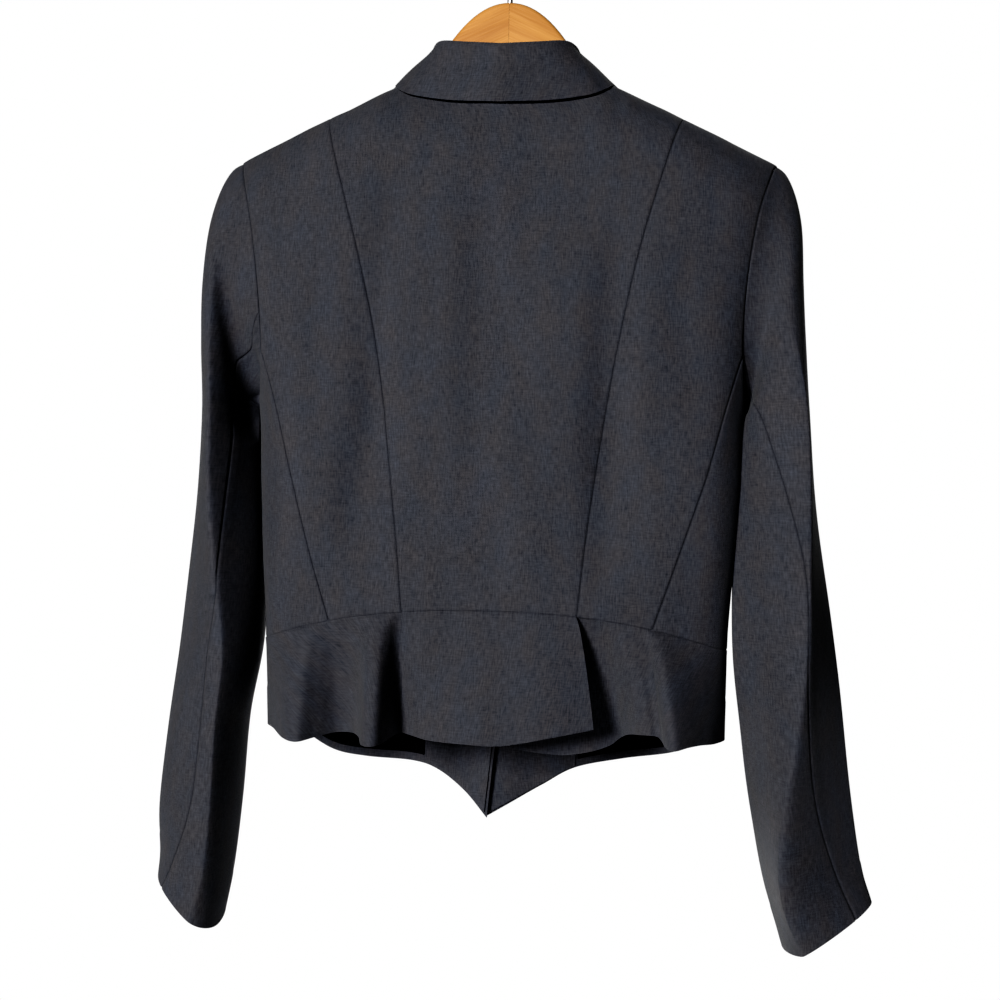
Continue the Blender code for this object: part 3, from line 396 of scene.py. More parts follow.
def lines(length: float, step: float = GRID_STEP) -> Array:
    """Shares across a length of cloth, closer together near its two edges.

    Args:
        length: About how long the cloth is that way.
        step: Distance between the lines in its middle.

    Returns:
        Rising shares from 0 to 1.
    """
    close = np.array((0.0, *EDGE_STEPS)) / length
    middle = np.linspace(close[-1], 1.0 - close[-1], max(int(length / step), 5))
    return np.concatenate([close[:-1], middle, 1.0 - close[-2::-1]])


def from_axis(points: Array, flatten: float = 1.0) -> Array:
    """Directions away from the jacket's upright axis, with their sideways share flattened."""
    return points * np.array((flatten, 1.0, 0.0))


def grid_normals(points: Array, outward: Array) -> Array:
    """Directions out of a grid of points.

    Args:
        points: Rows of points.
        outward: Directions that point out of it on the whole.

    Returns:
        A direction of length 1 at each point.
    """
    across, down = np.gradient(points, axis=1), np.gradient(points, axis=0)
    found = unit(np.cross(across, down))
    return found if np.sum(found * outward) > 0 else -found


def surface_out(surface: Surface, x: Array, z: Array, top: Array) -> Array:
    """Directions out of the back or the front at places on it.

    Args:
        surface: The back's or the front's points at x and z.
        x: Places across.
        z: Levels.
        top: The level that the surface ends at, above each place.

    Returns:
        A direction of length 1 at each place.
    """
    step = 0.0008
    across = surface(x + step, z) - surface(x - step, z)
    down = surface(x, np.minimum(z + step, top)) - surface(x, z - step)
    found = unit(np.cross(across, down))
    turned = found[..., 1] * surface(x, z)[..., 1] < 0
    return np.where(turned[..., None], -found, found)


@dataclass(frozen=True)
class BodyForm:
    """The form that the bodice is cut to: the solids' own, with the back hung a little flatter."""

    squareness: float = 2.5
    back_squareness: float = 3.3
    neck_half: float = 0.072
    neck_level: float = -0.1205
    neck_depth: float = 0.050
    nape_drop: float = 0.0145
    neck_blend: float = 0.022
    neck_clear: float = 0.016
    neck_edge: float = 0.010
    shoulder_fall: float = 0.475
    shoulder_round: float = 0.050
    tip_half: float = 0.206
    underarm_level: float = -0.370
    side_seam_angle: float = 126.0
    side_back_turn: float = 37.5
    side_front_turn: float = 126.0
    side_seam_curve: float = 0.85
    side_row_level: float = -0.325
    waist_back: float = -0.521
    waist_side: float = -0.549
    waist_front: float = -0.556
    waist_curve: float = 2.4
    break_level: float = -0.490
    right_edge: float = -0.018
    left_edge: float = -0.008
    lap: float = 0.0050
    lap_start: float = 0.015
    lap_fade: float = 0.045

    def rounding(self, share: Array, behind: bool) -> Array:
        """Depth of the rounded section at a share of its half width."""
        power = self.back_squareness if behind else self.squareness
        return (1.0 - np.minimum(np.abs(share), 1.0) ** power) ** (1.0 / power)

    def shoulder(self, x: Array) -> Array:
        """Level of the shoulder's ridge."""
        return self.neck_level - self.shoulder_fall * np.maximum(np.abs(x) - self.neck_half, 0.0)

    def neck_share(self, x: Array) -> Array:
        """How far the back neck's curve stands off, 1 at the nape and 0 at the shoulder."""
        return np.sqrt(np.maximum(0.0, 1.0 - (x / self.neck_half) ** 2))

    def neckline(self, x: Array) -> Array:
        """Level of the back's top edge, along the neck and the shoulders."""
        return self.shoulder(x) - self.nape_drop * self.neck_share(x)

    def ridge_out(self, x: Array) -> Array:
        """Direction straight up off the shoulder's ridge."""
        return unit(spots(np.sign(x) * self.shoulder_fall, 0.0, 1.0))

    def back(self, x: Array, z: Array) -> Array:
        """Points of the back's outer skin, smooth once they are clear of the neck seam.

        Args:
            x: Places across.
            z: Levels.

        Returns:
            The points there.
        """
        row = read(BODY, z)
        full = row.back * self.rounding(x / row.half_width, True)
        beyond = np.abs(x) - self.neck_half
        soft_beyond = (beyond + np.hypot(beyond, self.neck_blend)) / 2
        soft_neck = 1.0 - ease(np.abs(x) / (self.neck_half + self.neck_blend))
        soft_top = self.neck_level - self.shoulder_fall * soft_beyond - self.nape_drop * soft_neck
        neck, top = self.neck_share(x), self.neckline(x)
        inside = ease((self.neck_half + self.neck_blend - np.abs(x)) / self.neck_edge)
        clear = ease((top - z) / self.neck_clear) * inside
        neck, top = mix(neck, soft_neck, clear), mix(top, soft_top, clear)
        fall = np.clip((top - z) / self.shoulder_round, 0.0, 1.0)
        turned = mix(np.sqrt(1.0 - (1.0 - fall) ** 2), np.sin(fall * math.pi / 2), neck)
        return spots(x, -np.maximum(mix(self.neck_depth * neck, full, turned), SEAM / 2), z)

    def front(self, x: Array, z: Array) -> Array:
        """Points of the fronts' outer skin, before one laps over the other.

        Args:
            x: Places across.
            z: Levels.

        Returns:
            The points there.
        """
        row = read(BODY, z)
        full = row.front * self.rounding(x / row.half_width, False)
        fall = np.clip((self.shoulder(x) - z) / self.shoulder_round, 0.0, 1.0)
        return spots(x, np.maximum(full * np.sqrt(1.0 - (1.0 - fall) ** 2), SEAM / 2), z)

    def lap_lift(self, x: Array) -> Array:
        """How far the right front is lifted over the left one."""
        return self.lap * (1.0 - ease((x - self.lap_start) / self.lap_fade))

    def lapped_front(self, x: Array, z: Array) -> Array:
        """Points of the right front, lifted where it laps over the left one.

        Args:
            x: Places across.
            z: Levels.

        Returns:
            The points there.
        """
        points = self.front(x, z)
        points[..., 1] += self.lap_lift(x) * ease((self.shoulder(x) - z) / self.shoulder_round)
        return points

    def front_of(self, side: Side) -> Surface:
        """The skin of one front, in right-hand coordinates."""
        return self.lapped_front if side is Side.RIGHT else self.front

    def edge_of(self, side: Side) -> float:
        """Where one front's straight edge is, in right-hand coordinates."""
        return self.right_edge if side is Side.RIGHT else self.left_edge

    def roll_x(self, z: Array, edge: float) -> Array:
        """Where a front's free edge is: along the roll line to the break, then straight down."""
        share = np.clip((z - self.neck_level) / (self.break_level - self.neck_level), 0.0, 1.0)
        return mix(self.neck_half, edge, share)

    def around(self, turn: Array, z: Array) -> Array:
        """Points of the skin all round the body.

        Args:
            turn: Degrees round the body, 0 behind and 180 in front.
            z: Levels.

        Returns:
            The points there.
        """
        row = read(BODY, z)
        sine, cosine = np.sin(np.radians(turn)), np.cos(np.radians(turn))
        power = 2.0 / self.squareness
        share = np.abs(sine) ** power
        x = np.copysign(row.half_width * share, sine)
        ahead = row.front * np.abs(cosine) ** power
        return spots(x, np.where(cosine > 0, -row.back * self.rounding(share, True), ahead), z)

    def around_out(self, turn: Array, z: Array) -> Array:
        """Directions out of the skin all round the body.

        Args:
            turn: Degrees round the body, 0 behind and 180 in front.
            z: Levels.

        Returns:
            A direction of length 1 at each place.
        """
        aside, step = 0.8, 0.001
        along = self.around(turn + aside, z) - self.around(turn - aside, z)
        down = self.around(turn, z - step) - self.around(turn, z + step)
        found = unit(np.cross(along, down))
        turned = np.sum(found * from_axis(self.around(turn, z)), axis=-1) < 0
        return np.where(turned[..., None], -found, found)

    def turn_at(self, x: Array, z: Array) -> Array:
        """The turn round the back half of the body at which it is x wide."""
        share = np.clip(np.abs(x) / read(BODY, z).half_width, 0.0, 1.0)
        return np.degrees(np.arcsin(share ** (self.squareness / 2)))

    def waist_half(self) -> float:
        """Half the width of the body at the back of the waist."""
        return float(read(BODY, self.waist_back).half_width)

    def waist_level(self, share: Array, front: Any = False) -> Array:
        """Level of the waist seam at a share of the half width."""
        behind = mix(self.waist_back, self.waist_side, np.abs(share) ** self.waist_curve)
        return np.where(front, mix(self.waist_front, self.waist_side, np.square(share)), behind)

    def waist_share(self, turn: Array) -> Array:
        """Share of the half width at a turn round the waist."""
        return np.abs(np.sin(np.radians(turn))) ** (2.0 / self.squareness)

    def waist_turn_level(self, turn: Array) -> Array:
        """Level of the waist seam at a turn round the body."""
        return self.waist_level(self.waist_share(turn), np.asarray(turn) > 90)

    def armhole_level(self, angle: Array) -> Array:
        """Level of the armhole at an angle from the shoulder tip."""
        share = (1.0 - np.cos(np.radians(angle))) / 2
        return mix(self.shoulder(self.tip_half), self.underarm_level, share)

    def armhole(self, angle: Array) -> Array:
        """Points of the right armhole.

        Args:
            angle: Degrees from the shoulder tip, down the back to 180 and then up the front.

        Returns:
            The points there.
        """
        in_front = angle > 180
        half_turn = np.where(in_front, 360 - angle, angle)
        row, level = read(ARMHOLE, half_turn), self.armhole_level(half_turn)
        chosen = in_front[..., None]
        return np.where(chosen, self.front(row.front_x, level), self.back(row.back_x, level))

    def princess(self, z: Array) -> Array:
        """Half the distance between the princess seams at a level."""
        return read(PRINCESS, z).half

    def side_seam(self, share: Array, front: bool) -> tuple[Array, Array]:
        """Turn and level of the side-back or side-front seam.

        Args:
            share: Shares of the way from the armhole to the waist.
            front: Whether it is the side-front seam.

        Returns:
            The turns round the body and the levels.
        """
        angle = np.asarray(self.side_seam_angle)
        row, level = read(ARMHOLE, angle), self.armhole_level(angle)
        start = self.turn_at(row.front_x if front else row.back_x, level)
        start = 180 - start if front else start
        end = self.side_front_turn if front else self.side_back_turn
        bottom = self.waist_turn_level(end) + SEAM / 2
        return mix(start, end, share**self.side_seam_curve), mix(level, bottom, share)


@dataclass(frozen=True)
class Relief:
    """Heights and reaches of a pressed seam and of a turned hem on the outside of the cloth."""

    groove: float = 0.0006
    groove_reach: float = 0.0010
    pressed: float = 0.00012
    pressed_reach: float = 0.008
    hem: float = 0.00025
    hem_reach: float = 0.030
    pucker: float = 0.00020
    pucker_line: float = 0.032
    pucker_reach: float = 0.0015
    fade: float = 0.004


RELIEF = Relief()


class EdgeKind(Enum):
    """How an edge of a cut piece is finished."""

    SEWN = "sewn to its neighbour"
    TURNED = "turned up and blind hemmed"
    FOLDED = "folded"

    def relief(self, gap: Array) -> Array:
        """Height of the cloth near the edge.

        Args:
            gap: Distance from the edge at each point.

        Returns:
            Heights over the plain cloth.
        """
        if self is EdgeKind.SEWN:
            groove = RELIEF.groove * np.exp(-((gap / RELIEF.groove_reach) ** 2))
            pressed = RELIEF.pressed * (1.0 - ease((gap - RELIEF.pressed_reach) / RELIEF.fade))
            return pressed - groove
        if self is EdgeKind.TURNED:
            turned = RELIEF.hem * (1.0 - ease((gap - RELIEF.hem_reach) / RELIEF.fade))
            line = (gap - RELIEF.pucker_line) / RELIEF.pucker_reach
            return turned - RELIEF.pucker * np.exp(-(line**2))
        return np.zeros_like(gap)


SEWN, TURNED, FOLDED = EdgeKind


class Edges(NamedTuple):
    """The four edges of a cut piece."""

    top: EdgeKind
    bottom: EdgeKind
    first: EdgeKind
    last: EdgeKind


SEWN_ROUND = Edges(*[SEWN] * 4)
FOLDED_ROUND = Edges(*[FOLDED] * 4)


class CreasePoint(NamedTuple):
    """A point along a crease, with the crease's half width and depth there."""

    x: float
    z: float
    width: float
    depth: float


@dataclass(frozen=True)
class Crease:
    """A soft trough along a line over the cloth, or a ridge where its depth is negative."""

    route: tuple[CreasePoint, ...]
    behind: bool = True

    FACING_GAIN = 3.0

    def height(self, points: Array, normals: Array) -> Array:
        """Height that the crease gives the cloth.

        Args:
            points: Points of the cloth.
            normals: Directions out of it.

        Returns:
            Heights, negative in a trough.
        """
        place = points[..., [0, 2]]
        nearest = np.full(place.shape[:-1], np.inf)
        found = np.zeros_like(nearest)
        for first, last in zip(self.route, self.route[1:]):
            start, run = np.array(first[:2]), np.array(last[:2]) - np.array(first[:2])
            t = np.clip((place - start) @ run / (run @ run), 0.0, 1.0)
            gap = np.linalg.norm(place - start - t[..., None] * run, axis=-1)
            width, depth = mix(first.width, last.width, t), mix(first.depth, last.depth, t)
            found = np.where(gap < nearest, -depth * np.exp(-((gap / width) ** 2)), found)
            nearest = np.minimum(nearest, gap)
        facing = -normals[..., 1] if self.behind else normals[..., 1]
        return found * ease(facing * self.FACING_GAIN)


def crease(*route: tuple[float, float, float, float], behind: bool = True) -> Crease:
    """A crease through points given as x, z, half width and depth."""
    return Crease(tuple(CreasePoint(*point) for point in route), behind)


class NodeGraph:
    """A node tree that is wired one node at a time."""

    def __init__(self, tree: bpy.types.NodeTree) -> None:
        """Take up a node tree."""
        self.tree = tree

    def feed(self, node: Node, values: dict[Any, Any]) -> None:
        """Link or set the inputs of a node.

        Args:
            node: The node to feed.
            values: Its inputs by name or place, each with a value or with the socket to link.
        """
        for name, value in values.items():
            if isinstance(value, Socket):
                self.tree.links.new(value, node.inputs[name])
            else:
                node.inputs[name].default_value = value

    def add(self, kind: str, values: dict[Any, Any] | None = None, **settings: Any) -> Node:
        """Add a node.

        Args:
            kind: The node's type, without the ShaderNode that it starts with.
            values: What its inputs are fed.
            settings: Properties of the node.

        Returns:
            The new node.
        """
        node = self.tree.nodes.new(f"ShaderNode{kind}")
        for name, value in settings.items():
            setattr(node, name, value)
        self.feed(node, values or {})
        return node

    def noise(self, vector: Any, cells: Triple, detail: float = 2.0) -> Socket:
        """Add a noise.

        Args:
            vector: The coordinates that it lies on.
            cells: Its cells per metre each way.
            detail: How many finer layers it has.

        Returns:
            The socket of its value.
        """
        spread = self.add("VectorMath", {0: vector, 1: cells}, operation="MULTIPLY")
        texture = self.add("TexNoise", {"Vector": spread.outputs[0], "Scale": 1.0, "Detail": detail})
        return texture.outputs["Fac"]

    def span(self, value: Any, low: float, high: float, to: Sequence[float] = (0.0, 1.0)) -> Socket:
        """Map a value from one range to another."""
        sizes = {0: value, 1: low, 2: high, 3: to[0], 4: to[1]}
        return self.add("MapRange", sizes).outputs[0]

    def math(self, operation: str, first: Any, second: Any) -> Socket:
        """Work out one value from two."""
        return self.add("Math", {0: first, 1: second}, operation=operation).outputs[0]

    def weigh(self, *parts: tuple[Socket, float]) -> Socket:
        """Add up values by their weights.

        Args:
            parts: Each value's socket and its weight.

        Returns:
            The socket of the sum.
        """
        total, *others = (self.math("MULTIPLY", value, weight) for value, weight in parts)
        for other in others:
            total = self.math("ADD", total, other)
        return total

    def blend(self, share: Any, *colours: Any) -> Socket:
        """Blend two colours, each a socket or red, green and blue, by a share."""
        first, second = ((*colour, 1.0) if isinstance(colour, tuple) else colour for colour in colours)
        return self.add("Mix", {0: share, 6: first, 7: second}, data_type="RGBA").outputs[2]


class ThreadGroup:
    """Uneven woven threads, shared by every cloth: a node group of shade, tint and height."""

    NAME = "woven_threads"
    WARP: Triple = (980.0, 150.0, 1.0)
    WEFT: Triple = (190.0, 900.0, 1.0)
    CLOUD: Triple = (34.0, 8.0, 1.0)
    TINT: Triple = (60.0, 34.0, 1.0)
    FINE = 3.0
    UNEVEN_SHARES: Triple = (0.50, 0.34, 0.16)
    WEAVE_RELIEF = 0.25
    SLUB_RELIEF = 0.75
    TINT_SPAN = (0.32, 0.68)

    @classmethod
    def tree(cls) -> bpy.types.NodeTree:
        """The group's node tree, made once.

        Returns:
            A tree with the inputs Cloth, Pitch and Slub, and the outputs Shade, Tint and Height.
        """
        found = bpy.data.node_groups.get(cls.NAME)
        if found:
            return found
        tree = bpy.data.node_groups.new(cls.NAME, "ShaderNodeTree")
        for name, kind in (("Cloth", "Vector"), ("Pitch", "Float"), ("Slub", "Float")):
            tree.interface.new_socket(name=name, in_out="INPUT", socket_type=f"NodeSocket{kind}")
        for name in ("Shade", "Tint", "Height"):
            tree.interface.new_socket(name=name, in_out="OUTPUT", socket_type="NodeSocketFloat")
        graph = NodeGraph(tree)
        inputs = tree.nodes.new("NodeGroupInput").outputs
        cloth = inputs["Cloth"]
        warp, weft, tint = (graph.noise(cloth, cells, cls.FINE) for cells in (cls.WARP, cls.WEFT, cls.TINT))
        layers = (warp, weft, graph.noise(cloth, cls.CLOUD))
        uneven = graph.weigh(*zip(layers, cls.UNEVEN_SHARES))
        spread = graph.math("MULTIPLY", graph.math("SUBTRACT", uneven, 0.5), inputs["Slub"])
        ticks = graph.add("VectorMath", {0: cloth, 3: inputs["Pitch"]}, operation="SCALE").outputs[0]
        weave = graph.add("TexChecker", {"Vector": ticks, "Scale": 1.0}).outputs["Fac"]
        graph.feed(tree.nodes.new("NodeGroupOutput"), {
            "Shade": graph.math("ADD", spread, 0.5),
            "Tint": graph.span(tint, *cls.TINT_SPAN),
            "Height": graph.weigh((weave, cls.WEAVE_RELIEF), (uneven, cls.SLUB_RELIEF)),
        })
        return tree


@dataclass(frozen=True)
class Finish:
    """A finish that makes one material and keeps it."""

    name: str
    slot: str

    def material(self) -> bpy.types.Material:
        """Make the finish's material the first time, and find it after that.

        Returns:
            The material.
        """
        found = bpy.data.materials.get(self.name)
        if found:
            return found
        made = bpy.data.materials.new(self.name)
        made.use_nodes = True
        self.wire(NodeGraph(made.node_tree), made.node_tree.nodes["Principled BSDF"])
        return made

    def wire(self, graph: NodeGraph, shader: Node) -> None:
        """Wire the finish's nodes to its shader."""
        raise NotImplementedError


@dataclass(frozen=True)
class ClothFinish(Finish):
    """A woven cloth, with the lining's colour where the piece is lined."""

    deep: Triple
    pale: Triple
    warm: Triple
    lining: Triple
    pitch: float
    slub: float
    # How strongly painted shade darkens the colour along the seams.
    seam: float
    roughness: float
    lining_roughness: float
    specular: float
    sheen: float
    bump: float
    sheen_roughness: float = 0.45

    def wire(self, graph: NodeGraph, shader: Node) -> None:
        """Wire threads of three colours, painted shade along the seams, a lined side and a fine relief.

        Args:
            graph: The material's nodes.
            shader: Its shader.
        """
        cloth = graph.add("UVMap", uv_map="cloth").outputs[0]
        sizes = {"Cloth": cloth, "Pitch": self.pitch, "Slub": self.slub}
        threads = graph.add("Group", sizes, node_tree=ThreadGroup.tree()).outputs
        names = ("seam", "lined")
        seam, lined = (graph.add("Attribute", attribute_name=name).outputs["Fac"] for name in names)
        pale = graph.blend(threads["Tint"], self.pale, self.warm)
        colour = graph.blend(threads["Shade"], self.deep, pale)
        # Painted shade: along sewn seams the colour is darkened towards the deep threads, where the
        # groove's shade falls.
        colour = graph.blend(graph.math("MULTIPLY", seam, self.seam), colour, self.deep)
        relief = graph.add("Bump", {"Height": threads["Height"], "Distance": self.bump})
        graph.feed(shader, {
            "Base Color": graph.blend(lined, colour, self.lining),
            "Roughness": graph.span(lined, 0.0, 1.0, (self.roughness, self.lining_roughness)),
            "Normal": relief.outputs[0],
            "Sheen Weight": self.sheen,
            "Sheen Roughness": self.sheen_roughness,
            "Specular IOR Level": self.specular,
        })


@dataclass(frozen=True)
class WoodFinish(Finish):
    """Varnished wood with a slanted grain."""

    slant: float
    pale: Triple
    deep: Triple
    bands: Triple = (9.0, 60.0, 120.0)
    band_share: float = 0.7
    band_detail: float = 3.0
    fibres: Triple = (30.0, 400.0, 900.0)
    fibre_share: float = 0.3
    grain_span: tuple[float, float] = (0.36, 0.66)
    gloss_span: tuple[float, float] = (0.3, 0.7)
    roughness: tuple[float, float] = (0.52, 0.64)
    specular: float = 0.20
    varnish: float = 0.03
    varnish_roughness: float = 0.35
    bump: float = 0.0002

    def wire(self, graph: NodeGraph, shader: Node) -> None:
        """Wire long fibres and broad bands under a thin varnish.

        Args:
            graph: The material's nodes.
            shader: Its shader.
        """
        place = graph.add("TexCoord").outputs["Object"]
        turned = graph.add("Mapping", {"Vector": place, "Rotation": (0.0, self.slant, 0.0)}).outputs[0]
        bands = graph.noise(turned, self.bands, self.band_detail)
        fibres = graph.noise(turned, self.fibres)
        grain = graph.weigh((bands, self.band_share), (fibres, self.fibre_share))
        relief = graph.add("Bump", {"Height": fibres, "Distance": self.bump})
        graph.feed(shader, {
            "Base Color": graph.blend(graph.span(grain, *self.grain_span), self.pale, self.deep),
            "Roughness": graph.span(fibres, *self.gloss_span, self.roughness),
            "Normal": relief.outputs[0],
            "Specular IOR Level": self.specular,
            "Coat Weight": self.varnish,
            "Coat Roughness": self.varnish_roughness,
        })


@dataclass(frozen=True)
class HardFinish(Finish):
    """A small hard piece, mottled and lightly scuffed."""

    deep: Triple
    pale: Triple
    metallic: float
    roughness: tuple[float, float]
    cells: Triple
    detail: float = 4.0
    colour_span: tuple[float, float] = (0.35, 0.65)
    gloss_span: tuple[float, float] = (0.3, 0.7)

    def wire(self, graph: NodeGraph, shader: Node) -> None:
        """Wire a mottled colour and scuffs in the gloss.

        Args:
            graph: The material's nodes.
            shader: Its shader.
        """
        mottle = graph.noise(graph.add("TexCoord").outputs["Object"], self.cells, self.detail)
        graph.feed(shader, {
            "Base Color": graph.blend(graph.span(mottle, *self.colour_span), self.deep, self.pale),
            "Roughness": graph.span(mottle, *self.gloss_span, self.roughness),
            "Metallic": self.metallic,
        })


# The wool's seam value sets how dark the painted shade along its seams is.
WOOL = ClothFinish(
    name="charcoal_wool", slot="wool", deep=(0.012, 0.013, 0.0165), pale=(0.0575, 0.0615, 0.0760),
    warm=(0.0670, 0.0630, 0.0680), lining=(0.0025, 0.0030, 0.0032), pitch=1900.0, slub=2.2, seam=0.55,
    roughness=0.88, lining_roughness=0.80, specular=0.25, sheen=0.06, bump=0.00022,
)
LINING = ClothFinish(
    name="black_lining", slot="lining", deep=(0.0012, 0.0015, 0.0016), pale=(0.0040, 0.0046, 0.0050),
    warm=(0.0046, 0.0044, 0.0044), lining=(0.0025, 0.0030, 0.0032), pitch=3200.0, slub=0.8, seam=0.0,
    roughness=0.62, lining_roughness=0.62, specular=0.04, sheen=0.0, bump=0.00008,
)
STEEL = HardFinish(
    name="polished_steel", slot="steel", deep=(0.42, 0.42, 0.43), pale=(0.62, 0.62, 0.62),
    metallic=1.0, roughness=(0.40, 0.52), cells=(120.0, 120.0, 240.0),
)
HORN = HardFinish(
    name="dark_horn", slot="horn", deep=(0.008, 0.008, 0.009), pale=(0.030, 0.027, 0.026),
    metallic=0.0, roughness=(0.28, 0.45), cells=(180.0, 180.0, 420.0),
)
THREAD = HardFinish(
    name="button_thread", slot="wool", deep=(0.012, 0.012, 0.015), pale=(0.035, 0.034, 0.040),
    metallic=0.0, roughness=(0.75, 0.90), cells=(1500.0, 1500.0, 4000.0),
)


def wood_of(side: Side) -> WoodFinish:
    """The wood of one arm, whose grain falls outward as the arm does."""
    return WoodFinish(
        name=f"honey_wood_{side.word}", slot="wood", slant=-0.42 * side.value,
        pale=(0.400, 0.211, 0.061), deep=(0.315, 0.144, 0.034),
    )


class Axis(NamedTuple):
    """The line that a tube of cloth goes round: its x at level 0, its lean, and the tube's radius."""

    x: float
    lean: float
    radius: float

    def across(self, points: Array) -> Array:
        """Distances round the tube on the flat cloth."""
        aside = points[..., 0] - self.x - self.lean * points[..., 2]
        return self.radius * np.unwrap(np.arctan2(points[..., 1], aside), axis=1)


@dataclass
class Cloth:
    """One cut piece of cloth: a thin closed shell on a grid of points."""

    name: str
    node: str
    points: Array
    outward: Array
    edges: Edges
    finish: ClothFinish = WOOL
    thickness: float = 0.0013
    creases: tuple[Crease, ...] = ()
    lined: bool = True
    axis: Axis | None = None
    top_out: Array | None = None
    fades: tuple[float, float] = (0.0, 0.0)

    LINING_MARGIN = 0.026
    LINING_EDGE = 0.001
    SWAY = 0.00035
    SWAY_MARGIN = 0.02
    SWAY_CLOSE = 0.6
    # How far from a sewn edge the painted seam shade reaches.
    SEAM_SHADE_REACH = 0.0007
    RIM = 0.2
    LEAST_AREA = 0.31

    def gaps(self) -> list[Array]:
        """Measure how far each point is from the edges, along the cloth.

        Returns:
            Distances from the top, bottom, first and last edges.
        """
        found = []
        for axis in (0, 1):
            steps = np.linalg.norm(np.diff(self.points, axis=axis), axis=-1)
            run = np.cumsum(steps, axis=axis)
            blank = np.zeros_like(np.take(run, [0], axis=axis))
            run = np.concatenate([blank, run], axis=axis)
            found += [run, np.take(run, [-1], axis=axis) - run]
        return found

    def holds(self, gap: Array) -> tuple[Any, Any, Any, Any]:
        """How strongly each edge shows, at distances below the top: the side seams may fade in."""
        first, last = (ease(gap / fade) if fade else 1.0 for fade in self.fades)
        return 1.0, 1.0, first, last

    def sway(self) -> Array:
        """A slight unevenness that any hung cloth has, from broad waves and closer ones.

        Returns:
            Heights over the plain cloth.
        """
        x, y, z = np.moveaxis(self.points, -1, 0)
        broad = np.sin(61 * x + 9 * z + 1.1) * np.sin(17 * z + 23 * x + 0.4)
        close = np.sin(143 * x - 21 * z) * np.sin(37 * z + 31 * y + 2.0)
        return self.SWAY * (broad + self.SWAY_CLOSE * close)

    def build(self, rests_on: Sequence[Object]) -> Object:
        """Args:
            rests_on: What the cloth hangs on; not used.

        Returns:
            The finished piece.
        """
        normals = grid_normals(self.points, self.outward)
        if self.top_out is not None:
            normals[0] = np.where(np.isnan(self.top_out), normals[0], self.top_out)
        gaps = self.gaps()
        height = self.sway() * ease(np.minimum.reduce(gaps) / self.SWAY_MARGIN)
        holds = self.holds(gaps[0])
        relief = sum(kind.relief(gap) * hold for kind, gap, hold in zip(self.edges, gaps, holds))
        height = height + np.maximum(relief, -RELIEF.groove)
        for fold in self.creases:
            height = height + fold.height(self.points, normals)
        outer = self.points + normals * height[..., None]
        piece = self.shell(outer, normals, gaps)
        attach(piece, "root")
        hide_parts(self.node)
        return piece

    def shell(self, outer: Array, normals: Array, gaps: list[Array]) -> Object:
        """Close the outer points into a thin wall with a rounded rim.

        Args:
            outer: Points of the outside.
            normals: Directions out of the cloth.
            gaps: Distances from its four edges.

        Returns:
            The new object.
        """
        rows, columns = outer.shape[:2]
        count = rows * columns
        inner = outer - normals * self.thickness
        index = np.arange(count).reshape(rows, columns)
        loop = np.concatenate([index[0, :-1], index[:-1, -1], index[-1, :0:-1], index[:0:-1, 0]])
        beside = index.copy()
        beside[0], beside[-1] = index[1], index[-2]
        beside[1:-1, 0], beside[1:-1, -1] = index[1:-1, 1], index[1:-1, -2]
        flat = outer.reshape(-1, 3)
        aside = unit(flat[loop] - flat[beside.ravel()[loop]])
        rim = (flat[loop] + inner.reshape(-1, 3)[loop]) / 2 + aside * self.thickness * self.RIM
        quads = np.stack([index[:-1, :-1], index[:-1, 1:], index[1:, 1:], index[1:, :-1]], axis=-1)
        quads = quads.reshape(-1, 4)
        after = np.roll(loop, -1)
        edge = 2 * count + np.arange(len(loop))
        edge_after = np.roll(edge, -1)
        walls = np.concatenate([
            np.stack([after, loop, edge, edge_after], axis=-1),
            np.stack([edge_after, edge, loop + count, after + count], axis=-1),
        ])
        faces = np.concatenate([quads, quads[:, ::-1] + count, walls])
        turn = np.cross(outer[0, 1] - outer[0, 0], outer[1, 0] - outer[0, 0]) @ normals[0, 0]
        faces = faces if turn > 0 else faces[:, ::-1]
        mesh = bpy.data.meshes.new(self.name)
        mesh.from_pydata(np.concatenate([flat, inner.reshape(-1, 3), rim]), [], faces.tolist())
        self.lay_flat(mesh, outer, gaps, loop)
        mesh.shade_smooth()
        mesh.materials.append(self.finish.material())
        piece = bpy.data.objects.new(self.name, mesh)
        bpy.context.scene.collection.objects.link(piece)
        return piece

    def lay_flat(self, mesh: bpy.types.Mesh, outer: Array, gaps: list[Array], loop: Array) -> None:
        """Store where each point lies on the flat cloth, the painted shade near its seams and what the
        lining covers.

        Args:
            mesh: The shell's mesh.
            outer: Points of its outside.
            gaps: Distances from its four edges.
            loop: The outside points along its rim.
        """
        way = 1.0 if outer[-1, -1, 0] > outer[-1, 0, 0] else -1.0
        across = self.axis.across(outer) if self.axis else outer[:, :1, 0] + way * gaps[2]
        flat = np.stack([across, outer[..., 2]], axis=-1).reshape(-1, 2)
        flat = np.concatenate([flat, flat, flat[loop]])
        corners = np.empty(len(mesh.loops), dtype=np.int32)
        mesh.loops.foreach_get("vertex_index", corners)
        mesh.uv_layers.new(name="cloth").data.foreach_set("uv", flat[corners].ravel())
        inside = np.full(outer.shape[:2], 1.0 if self.lined else 0.0)
        seam = np.zeros(outer.shape[:2])
        for kind, gap, hold in zip(self.edges, gaps, self.holds(gaps[0])):
            # Painted shade: a mask that darkens the colour along the sewn edges.
            if kind is SEWN:
                seam = np.maximum(seam, hold * np.exp(-((gap / self.SEAM_SHADE_REACH) ** 2)))
            else:
                inside *= ease((gap - self.LINING_MARGIN) / self.LINING_EDGE)
        none, seam = np.zeros(seam.size), seam.ravel()
        # The seam attribute carries the painted shade along the seams.
        for name, values in (
            ("lined", (none, inside.ravel(), none[loop])),
            ("seam", (seam, none, seam[loop])),
        ):
            mesh.attributes.new(name, "FLOAT", "POINT").data.foreach_set("value", np.concatenate(values))


def on_side(points: Array, side: Side) -> Array:
    """Right-hand points or directions, or the same ones mirrored to the left."""
    return points * np.array((side.value, 1.0, 1.0))


